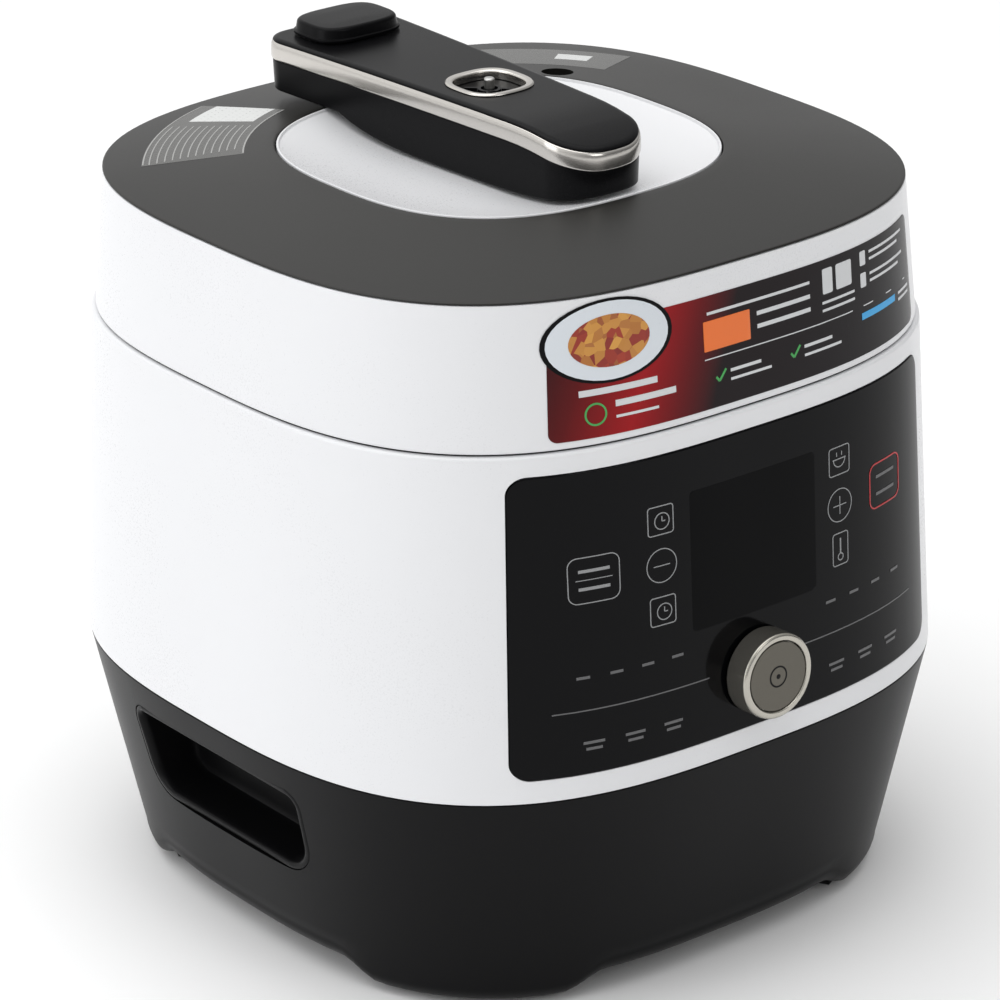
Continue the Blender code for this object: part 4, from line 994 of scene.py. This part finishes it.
def make_label():
    """Promotional label on the front of the lid, with plain shapes in place of words and pictures."""
    bm = bmesh.new()
    patch(bm, leaning_label_surface, LABEL_PATCH, 0.00003, 0.00018, 96, 12, 0.00006)
    finish_piece("lid_label", bm, LABEL, "lid", slot="gloss_black", weighted=False)
    centre, half_u, half_v = (-0.0605, 0.2730), 0.0262, 0.0158

    def oval(scale, lift, height, name, material):
        def surface(u, v, offset):
            across = centre[0] + (u - centre[0]) * half_u / half_v * scale
            return lid_front_surface(across, centre[1] + (v - centre[1]) * scale, offset)

        disc = Print(surface, lift, height)
        rings = 10
        for ring in range(rings):
            disc.ring(centre, half_v * (ring + 0.5) / rings, half_v / rings)
        disc.done(name, material, "lid", "gloss_black")

    oval(1.0, LABEL_LIFT, 0.00010, "label_oval", GLOSS)
    oval(0.93, 0.00032, 0.00008, "label_plate", PLATE_WHITE)
    oval(0.62, 0.00042, 0.00008, "label_dapple", DAPPLE)

    white = Print(lid_front_surface, LABEL_LIFT)
    white.bars((
        (-0.0740, -0.0420, 0.2546, 0.0024),
        (-0.0600, -0.0340, 0.2490, 0.0024),
        (-0.0600, -0.0420, 0.2440, 0.0010),
        (-0.0180, 0.0330, 0.2738, 0.0011),
        (0.0060, 0.0330, 0.2685, 0.0016),
        (0.0060, 0.0330, 0.2635, 0.0016),
        (-0.0200, 0.0960, 0.2565, 0.0004),
        (0.0395, 0.0580, 0.2640, 0.0010),
        (0.0395, 0.0580, 0.2610, 0.0010),
        (0.0890, 0.0990, 0.2530, 0.0010),
        (0.0890, 0.0990, 0.2505, 0.0010),
    ))
    white.block(0.0400, 0.2672, 0.0455, 0.2770, 0.0008)
    white.block(0.0475, 0.2672, 0.0565, 0.2770, 0.0008)
    for height in (0.2750, 0.2665):
        white.block(0.0620, height - 0.0028, 0.0655, height + 0.0028, 0.0006)
        white.bars(((0.0680, 0.0940, height + 0.0014, 0.0010), (0.0680, 0.0900, height - 0.0014, 0.0010)))
    for start in (-0.0080, 0.0290):
        white.bars(((start, start + 0.0150, 0.2500, 0.0012), (start, start + 0.0200, 0.2466, 0.0010)))
    white.done("label_bars", INK, "lid", "white_plastic")
    orange = Print(lid_front_surface, LABEL_LIFT)
    orange.block(-0.0200, 0.2595, 0.0025, 0.2710, 0.0004)
    orange.done("label_block", ORANGE_INK, "lid", "white_plastic")
    green = Print(lid_front_surface, LABEL_LIFT)
    for place in (-0.0150, 0.0220):
        green.line((place, 0.2490), (place + 0.0015, 0.2472), 0.0009)
        green.line((place + 0.0015, 0.2472), (place + 0.0048, 0.2512), 0.0009)
    green.ring((-0.0680, 0.2462), 0.0040, 0.0007)
    green.done("label_ticks", GREEN_INK, "lid", "white_plastic")
    blue = Print(lid_front_surface, LABEL_LIFT)
    blue.line((0.0620, 0.2525), (0.0860, 0.2525), 0.0026)
    blue.done("label_bar", BLUE_INK, "lid", "white_plastic")


def ring_patch(name, centre_turn, half_turn, inner, outer, material):
    """Thin film on the dark ring between two radii and two angles about the lid's middle."""

    def surface(u, v, offset):
        angle = math.radians(centre_turn + u)
        return cover_surface(v * math.cos(angle), v * math.sin(angle), offset)

    bm = bmesh.new()
    patch(bm, surface, (-half_turn, inner, half_turn, outer, 0.0008), 0.00003, 0.00010, 24, 12, 0.00003)
    finish_piece(name, bm, material, "lid", slot="warm_grey", weighted=False)


def make_ring_stickers():
    """Two translucent-looking films on the dark ring, with fine arcs in place of their print."""
    ring_patch("left_film", 127.5, 16.5, 0.1000, 0.1400, FILM)
    ring_patch("left_film_head", 116.0, 5.0, 0.1050, 0.1330, LIGHT_FILM)
    lines = Print(cover_surface, 0.00011, 0.00006)
    for step in range(12):
        lines.ring((0.0, 0.0), 0.1040 + 0.0030 * step, 0.0005, 124.0, 140.5 + 0.3 * step)
    for radius in (0.1005, 0.1395):
        lines.ring((0.0, 0.0), radius, 0.0006, 111.5, 143.5)
    lines.done("left_film_lines", FILM_INK, "lid", "warm_grey")
    ring_patch("back_film", 43.0, 14.0, 0.1100, 0.1405, FILM)
    ring_patch("back_film_mark", 38.0, 3.2, 0.1220, 0.1320, LIGHT_FILM)


# ---------------------------------------------------------------- handle

HANDLE_BACK_Y = TRIM_HIGH.y
HANDLE_NOSE_Y = TRIM_LOW.y
HANDLE_WIDE = 0.0298
HANDLE_NARROW = 0.0210
NOSE_CORNER = 0.0185
BACK_CORNER = 0.0120
END_BULGE = 0.0010
HANDLE_BOTTOM = 0.2996
KEEL_CLEARANCE = 0.0008
DISH_REACH = 0.0760
TRIM_BOTTOM = 0.3132
TRIM_HEIGHT = 0.0072
CAP_TOP = 0.3218
CROWN_Y = 0.020
NOSE_START_Y = -0.030
WINDOW_Y = (BEZEL_LOW.y + BEZEL_HIGH.y) / 2
WINDOW_POWER = 2.8
VALVE_Y = (VALVE_LOW.y + VALVE_HIGH.y) / 2
VALVE_POWER = 3.4


def crown(y):
    """Drop of the handle's top edges at y: highest near the middle, the nose turned down."""
    if y > CROWN_Y:
        return -0.0008 * ((y - CROWN_Y) / (HANDLE_BACK_Y - CROWN_Y)) ** 2
    drop = 0.0004 * ((CROWN_Y - y) / (CROWN_Y - HANDLE_NOSE_Y)) ** 2
    nose = max(0.0, (NOSE_START_Y - y) / (NOSE_START_Y - HANDLE_NOSE_Y))
    return -drop - 0.0058 * nose ** 2.2


def handle_outline(inset, arc_steps=14, side_steps=22):
    """Plan of the handle set in by inset, from the middle of the nose anticlockwise."""
    nose, back = HANDLE_NOSE_Y + inset + END_BULGE, HANDLE_BACK_Y - inset - END_BULGE
    corners = (
        (0.0, nose - END_BULGE, 0),
        (HANDLE_NARROW - inset, nose, NOSE_CORNER - inset),
        (HANDLE_WIDE - inset, back, BACK_CORNER - inset),
        (0.0, back + END_BULGE, 0),
    )
    half = fillet(corners, False, arc_steps)
    side = []
    for first, second in zip(half, half[1:]):
        side.append(first)
        if second.y - first.y > 0.008:
            side += [first.lerp(second, step / side_steps) for step in range(1, side_steps)]
    mirrored = [Vector((-point.x, point.y)) for point in reversed(side[1:])]
    return side + [half[-1]] + mirrored


def handle_ring(inset, z):
    return [Vector((*point, z + crown(point.y))) for point in handle_outline(inset)]


def keel_ring(inset, lift):
    """Underside of the handle: it follows the dish, then runs level over the ring."""
    ring = []
    for point in handle_outline(inset):
        dish = DISH_FLOOR + (DISH_HIGH.z - DISH_FLOOR) * (point.length / DISH_REACH) ** 4
        ring.append(Vector((*point, min(dish + KEEL_CLEARANCE, HANDLE_BOTTOM) + lift)))
    return ring


def make_tray():
    """Body of the handle, open below for the rotor hub."""
    top = TRIM_BOTTOM - GAP
    rings = [keel_ring(0.0030, 0.0)]
    for step in range(6):
        turn = math.pi / 2 * step / 5
        rings.append(keel_ring(0.0020 - 0.0010 * math.sin(turn), 0.0010 * (1 - math.cos(turn))))
    rings += [handle_ring(0.0006, top - 0.0006), handle_ring(0.0009, top), handle_ring(0.0030, top)]
    rings.append([Vector((*point, HANDLE_BOTTOM + 0.0022)) for point in handle_outline(0.0048)])
    cuts = ((arc_path((0.0, 0.0), 0.0155, steps=64), "Z", 0.285, 0.320),)
    loft("handle_tray", rings, HANDLE_BLACK, "handle", ("handle_body",), "satin_black", cuts=cuts)


def make_trim():
    section = (
        (0.0008, 0.0), (0.0002, 0.0003), (0.0, 0.0009), (0.0, 0.0044), (0.0002, TRIM_HEIGHT - 0.0012),
        (0.0005, TRIM_HEIGHT - 0.0004), (0.0010, TRIM_HEIGHT), (0.0016, TRIM_HEIGHT), (0.0016, 0.0),
    )
    rings = [handle_ring(inset, TRIM_BOTTOM + lift) for inset, lift in section]
    loft("trim_band", rings, SATIN_METAL, "handle", ("handle_trim",), "chrome_trim", closed=True)


def make_cap():
    """Domed top of the handle, with holes for the window and the steam pipe."""
    low = TRIM_BOTTOM + TRIM_HEIGHT
    rings = [handle_ring(0.0019, low - 0.0030), handle_ring(0.0019, low + GAP), handle_ring(0.0008, low + GAP)]
    for step in range(9):
        turn = math.pi / 2 * step / 8
        inset = 0.0008 + 0.0026 * (1 - math.cos(turn))
        rings.append(handle_ring(inset, low + GAP + (CAP_TOP - low - GAP) * math.sin(turn)))
    window = [tuple(point.xy) for point in window_ring(BEZEL_HIGH.x - 0.0012, 0.0)]
    pipe = arc_path((0.0, VALVE_Y), 0.0050, steps=48)
    cuts = ((window, "Z", 0.310, 0.330), (pipe, "Z", 0.310, 0.330))
    loft("top_cap", rings, HANDLE_BLACK, "handle", ("handle_cap",), "satin_black", cuts=cuts)


def window_ring(half, z):
    return superellipse(half, half, z, WINDOW_POWER, 96, (0.0, WINDOW_Y))


def make_window():
    """Bright rim, the guide plate of the pressure indicator under it, and the indicator's pin."""
    high = CAP_TOP + crown(WINDOW_Y)
    outer, wall = BEZEL_HIGH.x, 0.0015
    section = (
        (0.0, GAP), (0.0001, 0.0006), (0.0005, 0.0010), (0.0011, 0.0010), (0.0021, 0.0009),
        (0.0027, 0.0006), (0.0030, 0.0001), (0.0030, -0.0026), (wall, -0.0026), (wall, GAP),
    )
    rings = [window_ring(outer - inset, high + lift) for inset, lift in section]
    loft("window_rim", rings, SATIN_METAL, "handle", ("window_bezel",), "chrome_trim", closed=True)
    guide_top, guide_low = high - 0.0029, high - 0.0046
    loft(
        "guide_plate", [window_ring(outer - wall, guide_low), window_ring(outer - wall, guide_top)],
        HANDLE_BLACK, "handle", ("window_guide",), "satin_black", weighted=False,
        cuts=((arc_path((0.0, WINDOW_Y), 0.0027, steps=32), "Z", 0.310, 0.330),),
    )

    def guide_surface(u, v, offset):
        return Vector((u, v + WINDOW_Y, guide_top + offset))

    spokes = Print(guide_surface, 0.00005, 0.0010)
    spokes.ring((0.0, 0.0), 0.0040, 0.0012)
    for turn in range(4):
        angle = math.pi / 2 * turn + math.pi / 4
        way = Vector((math.cos(angle), math.sin(angle)))
        spokes.line(way * 0.0048, way * 0.0098, 0.0012)
    spokes.done("guide_spokes", HANDLE_BLACK, "handle", "satin_black")
    radius = 0.0021
    head = PIN_LOW.z
    profile = (
        (0.0, head, 0),
        (0.0050, head, 0.0008),
        (0.0050, head + 0.0028, 0.0003),
        (radius, head + 0.0028, 0.0003),
        (radius, PIN_HIGH.z, 0.0008),
        (0.0, PIN_HIGH.z, 0),
    )
    turned("indicator_pin", profile, STEEL, "float_valve", ("float_valve",), "steel", 48, (0.0, WINDOW_Y))


def make_steam_knob():
    half_x, half_y = VALVE_HIGH.x, (VALVE_HIGH.y - VALVE_LOW.y) / 2
    low, high = VALVE_LOW.z, VALVE_HIGH.z

    def ring(inset, z):
        return superellipse(half_x - inset, half_y - inset, z, VALVE_POWER, ROUND_STEPS, (0.0, VALVE_Y))

    profile = (
        (0.0120, low, 0),
        (0.0, low, 0.0003),
        (0.0, low + 0.0012, 0.0002),
        (0.0007, low + 0.0014, 0.0002),
        (0.0014, high - 0.0003, 0.0016),
        (0.0080, high, 0),
    )
    rings = [ring(*point) for point in fillet(profile, False, 5)]
    cuts = ((arc_path((0.0, VALVE_Y), 0.0048, steps=48), "Z", 0.300, low + 0.0039),)
    loft("steam_knob", rings, HANDLE_BLACK, "steam_valve", ("steam_valve_knob",), "satin_black", cuts=cuts)

    def top_surface(u, v, offset):
        return Vector((u, v + VALVE_Y, high - 0.00025 + offset))

    marks = Print(top_surface, 0.0, 0.00024)
    marks.ring((-0.0035, 0.0), 0.0040, 0.0007)
    marks.dot((0.0050, 0.0), 0.0018)
    marks.done("steam_symbol", MOULDED_INK, "steam_valve", "satin_black")


# ---------------------------------------------------------------- seen with the lid open

def lugged_ring(radius, lug_radius, z, turned_by=0.0):
    """Circle with six short lugs, their ends eased over a few degrees."""
    ring = circle(radius, z, LUG_STEPS)
    for index, point in enumerate(ring):
        angle = (360 * index / LUG_STEPS - turned_by + 30) % 60 - 30
        share = 1 - smooth_share(abs(angle), 8.5, 13.5)
        point.xy *= 1 + (lug_radius / radius - 1) * share
    return ring


def make_deck():
    """Deck round the pot, with a shallow gutter."""
    top = DECK_HIGH.z
    outer = wall_ring(top, WALL + GAP)
    inner = circle(0.1265, top, SHELL_STEPS)
    section = (
        (0.0, -0.0004), (0.01, 0.0), (0.25, 0.0), (0.30, -0.0003), (0.40, -0.0022), (0.75, -0.0022),
        (0.84, -0.0003), (0.88, 0.0), (1.0, 0.0), (1.0, -0.0045), (0.0, -0.0045),
    )
    rings = [blend_rings(outer, inner, share, top + drop) for share, drop in section]
    loft("deck", rings, BLACK, "base", ("top_deck",), "satin_black", closed=True)


def make_pot():
    floor, rim = POT_LOW.z, POT_HIGH.z
    radius, wall = 0.1085, 0.0018
    pot = (
        (0.0, floor, 0),
        (0.096, floor, 0.008),
        (radius, floor + 0.016, 0.012),
        (radius, rim - 0.0020, 0.0004),
        (radius + 0.0040, rim - 0.0020, 0.0006),
        (radius + 0.0040, rim, 0.0008),
        (radius - wall, rim, 0.0010),
        (radius - wall, floor + 0.0165, 0.011),
        (0.0950, floor + wall, 0.008),
        (0.0, floor + wall, 0),
    )
    turned("cooking_pot", pot, COATING, "base", ("inner_pot",), "non_stick")


def make_bayonet():
    low, high, lug_low = BAYONET_LOW.z, BAYONET_HIGH.z, 0.2302
    outer, bore, reach = BAYONET_HIGH.x, 0.1185, 0.1132
    rings = [
        circle(outer, low, LUG_STEPS),
        circle(outer, high - 0.0005, LUG_STEPS),
        circle(outer - 0.0005, high, LUG_STEPS),
        lugged_ring(bore + 0.0005, reach + 0.0005, high, 30.0),
        lugged_ring(bore, reach, high - 0.0005, 30.0),
        lugged_ring(bore, reach, lug_low, 30.0),
        circle(bore + 0.0002, lug_low - 0.0002, LUG_STEPS),
        circle(bore + 0.0002, low, LUG_STEPS),
    ]
    loft("bayonet", rings, STEEL, "base", ("locking_ring",), "steel", closed=True)


def make_inner_lid():
    """Pressed steel lid: a flanged plate with six lugs, and holes for the indicator and the steam."""
    low, high, lug_top = PLATE_LOW.z, PLATE_HIGH.z, 0.2295
    edge, reach, under = 0.1123, 0.1173, 0.0025
    above = ((0.030, 0.0), (0.105, 0.0), (edge - 0.0030, 0.0012), (edge, 0.0045))
    below = (
        (edge - 0.002, 0.006), (0.103, under), (0.090, under),
        (0.0875, 0.0018), (0.045, 0.0018), (0.0425, under),
    )
    rings = [circle(0.0, high)]
    rings += [circle(radius, high - drop, LUG_STEPS) for radius, drop in above]
    rings += [
        circle(edge, lug_top + 0.0004, LUG_STEPS),
        lugged_ring(edge, reach, lug_top),
        lugged_ring(edge, reach, low + 0.0004),
        lugged_ring(edge - 0.0004, reach - 0.0004, low),
        circle(edge - 0.002, low, LUG_STEPS),
    ]
    rings += [circle(radius, high - drop, LUG_STEPS) for radius, drop in below]
    rings.append(circle(0.0, high - under))
    cuts = (
        (arc_path((0.0, WINDOW_Y), 0.0029, steps=32), "Z", 0.225, 0.245),
        (arc_path((-0.009, 0.0), 0.0022, steps=24), "Z", 0.225, 0.245),
    )
    loft("inner_lid", rings, STEEL, "handle", ("pressure_lid",), "steel", cuts=cuts)


def make_seal():
    outer, inner = SEAL_HIGH.x, 0.1030
    low, high = SEAL_LOW.z, SEAL_HIGH.z
    section = (
        (outer, high, 0.0008),
        (outer, low + 0.0003, 0.0010),
        (inner, low, 0.0006),
        (inner, low + 0.0031, 0.0006),
        (outer - 0.0030, low + 0.0046, 0.0010),
        (outer - 0.0030, high, 0.0008),
    )
    turned("seal", section, SILICONE, "handle", ("sealing_ring",), "silicone", closed=True)


def make_liner():
    """Black underside of the lid, with a round well for the pressure lid."""
    low, bore = LINER_LOW.z, 0.1188
    edge = ((0.0038, 0.0), (0.0032, 0.0006), (0.0032, 0.002))
    well = (
        (bore + 0.002, 0.002), (bore + 0.002, 0.014), (bore, 0.014), (bore, 0.0008), (bore + 0.0008, 0.0),
    )
    rings = []
    for inset, rise in edge:
        half_x, half_y = lid_half(low + rise)
        rings.append(superellipse(half_x - inset, half_y - inset, low + rise))
    rings += [circle(radius, low + rise, SHELL_STEPS) for radius, rise in well]
    loft("liner", rings, BLACK, "lid", ("lid_liner",), "satin_black", closed=True)


# ---------------------------------------------------------------- back

def make_cup():
    """Clear condensate cup: an open rounded box with a slot for the tongue of its holder."""
    wall = 0.0018
    low, high = CUP_LOW, CUP_HIGH

    def ring(inset, z, radius):
        outline = rectangle(low.x + inset, low.y + inset, high.x - inset, high.y - inset, radius, 8)
        return [Vector((*point, z)) for point in outline]

    top = high.z - low.z
    section = (
        (0.0012, 0.0, 0.0028),
        (0.0003, 0.0004, 0.0037),
        (0.0, 0.0012, 0.004),
        (0.0, top - 0.0004, 0.004),
        (0.0004, top, 0.0036),
        (wall - 0.0003, top, 0.0025),
        (wall, top - 0.0003, 0.0022),
        (wall, wall + 0.0010, 0.0022),
        (wall + 0.0010, wall, 0.0012),
    )
    rings = [ring(inset, low.z + rise, radius) for inset, rise, radius in section]
    tongue = rectangle(-0.0154, 0.1856, 0.0154, 0.1894, 0.0005, 2)
    cuts = ((tongue, "Y", low.y - 0.005, low.y + 0.005),)
    loft("clear_cup", rings, CLEAR, "cup", ("condensate_cup",), "clear_plastic", cap="plain", cuts=cuts)


def dress_nodes():
    """Materials and softened edges for the CAD nodes that stay."""
    finishes = {
        RUBBER: ("foot_pad_front_right", "foot_pad_back_right", "foot_pad_back_left", "foot_pad_front_left"),
        BLACK: (
            "bottom_plate", "panel_frame", "encoder_body", "encoder_plunger", "hinge_bracket", "hinge_arm",
            "cup_holder", "lid_frame", "transformer",
        ),
        STEEL: (
            "bottom_screw_1", "bottom_screw_2", "bottom_screw_3", "bottom_screw_4", "support_bracket_1",
            "support_bracket_2", "support_bracket_3", "hinge_pin", "sensor_spring", "encoder_shaft",
            "rotor_hub", "steam_pipe", "valve_seat",
        ),
        ALUMINIUM: ("outer_pot", "heating_plate", "temperature_sensor"),
        BOARD: ("control_board", "power_board"),
        BRASS: ("inlet_pin_live", "inlet_pin_neutral", "inlet_pin_earth"),
        DISPLAY: ("display_module",),
    }
    for material, names in finishes.items():
        for name in names:
            node = frame["nodes"][name]
            node.data.materials.clear()
            node.data.materials.append(material)
    for name, width in (("hinge_bracket", 0.0006), ("hinge_arm", 0.0006), ("cup_holder", 0.0004)):
        soften(frame["nodes"][name], width, 3)
    for number in range(1, 5):
        soften(frame["nodes"][f"bottom_screw_{number}"], 0.0002)


# ---------------------------------------------------------------- stage

def make_floor():
    bm = bmesh.new()
    reach, low = 6.0, -0.0002
    outline = rectangle(-reach, -reach, reach, reach, 1.0, 8)
    extruded(bm, outline, "Z", low - 0.01, low)
    surface = new_material("pale_floor", (0.93, 0.93, 0.93), 0.80, tint=0.003, bump=0.0, specular=0.1)
    finish_piece("floor", bm, surface, None, weighted=False)


def make_world():
    """Soft studio surroundings: bright behind, above and to the left, darker in front."""
    world = bpy.data.worlds.new("studio")
    bpy.context.scene.world = world
    world.use_nodes = True
    tree = world.node_tree
    way = add_node(tree, "TexCoord", "Generated")
    bright = Vector((-0.45, 0.55, 0.70)).normalized()
    facing = add_node(tree, "VectorMath", "Value", {0: way, 1: bright}, "DOT_PRODUCT")
    share = {"Value": facing, "From Min": -0.60, "From Max": 0.75, "To Min": 0.15, "To Max": 1.00}
    strength = add_node(tree, "MapRange", "Result", share)
    feed(tree, tree.nodes["Background"], {"Color": (1.0, 1.0, 1.0, 1.0), "Strength": strength})


def make_light(name, place, aim, size, power, colour=(1.0, 1.0, 1.0)):
    light = bpy.data.lights.new(name, "AREA")
    light.shape = "RECTANGLE"
    light.size, light.size_y = size
    light.energy = power
    light.color = colour
    item = bpy.data.objects.new(name, light)
    item.location = place
    item.rotation_euler = (Vector(aim) - Vector(place)).to_track_quat("-Z", "Y").to_euler()
    bpy.context.scene.collection.objects.link(item)


def make_lights():
    make_light("overhead", (-0.2, 0.2, 2.2), (0.0, 0.0, 0.2), (2.6, 2.6), 26.0)
    make_light("left_box", (-2.2, 0.5, 0.8), (0.0, 0.0, 0.15), (1.4, 1.5), 9.0, (0.97, 0.98, 1.0))
    make_light("front_fill", (0.4, -2.6, 1.5), (0.0, 0.0, 0.15), (1.2, 1.0), 8.0)


def make_camera():
    azimuth, elevation, roll = (math.radians(angle) for angle in (-38.384, 22.944, -0.627))
    target, distance = Vector((0.0, 0.0, 0.150)), 1.8592
    back = Vector((
        math.sin(azimuth) * math.cos(elevation), -math.cos(azimuth) * math.cos(elevation), math.sin(elevation)
    ))
    right = Vector((math.cos(azimuth), math.sin(azimuth), 0.0))
    up = back.cross(right)
    tilted_right = right * math.cos(roll) + up * math.sin(roll)
    tilted_up = up * math.cos(roll) - right * math.sin(roll)
    data = bpy.data.cameras.new("camera")
    data.sensor_width = 36.0
    data.lens = 166.85
    data.shift_x, data.shift_y = -0.0055, -0.0032
    camera = bpy.data.objects.new("camera", data)
    turn = Matrix((tilted_right, tilted_up, back)).transposed().to_4x4()
    camera.matrix_world = Matrix.Translation(target + back * distance) @ turn
    bpy.context.scene.collection.objects.link(camera)
    bpy.context.scene.camera = camera


def main():
    make_camera()
    make_floor()
    make_world()
    make_lights()
    bpy.context.scene.view_settings.view_transform = "Standard"
    dress_nodes()
    make_base()
    for side in (-1, 1):
        make_grip(side)
    make_inlet()
    make_body()
    make_panel()
    make_panel_prints()
    make_knob()
    make_lid()
    make_cover()
    make_dish()
    make_label()
    make_ring_stickers()
    make_tray()
    make_trim()
    make_cap()
    make_window()
    make_steam_knob()
    make_deck()
    make_pot()
    make_bayonet()
    make_inner_lid()
    make_seal()
    make_liner()
    make_cup()


main()
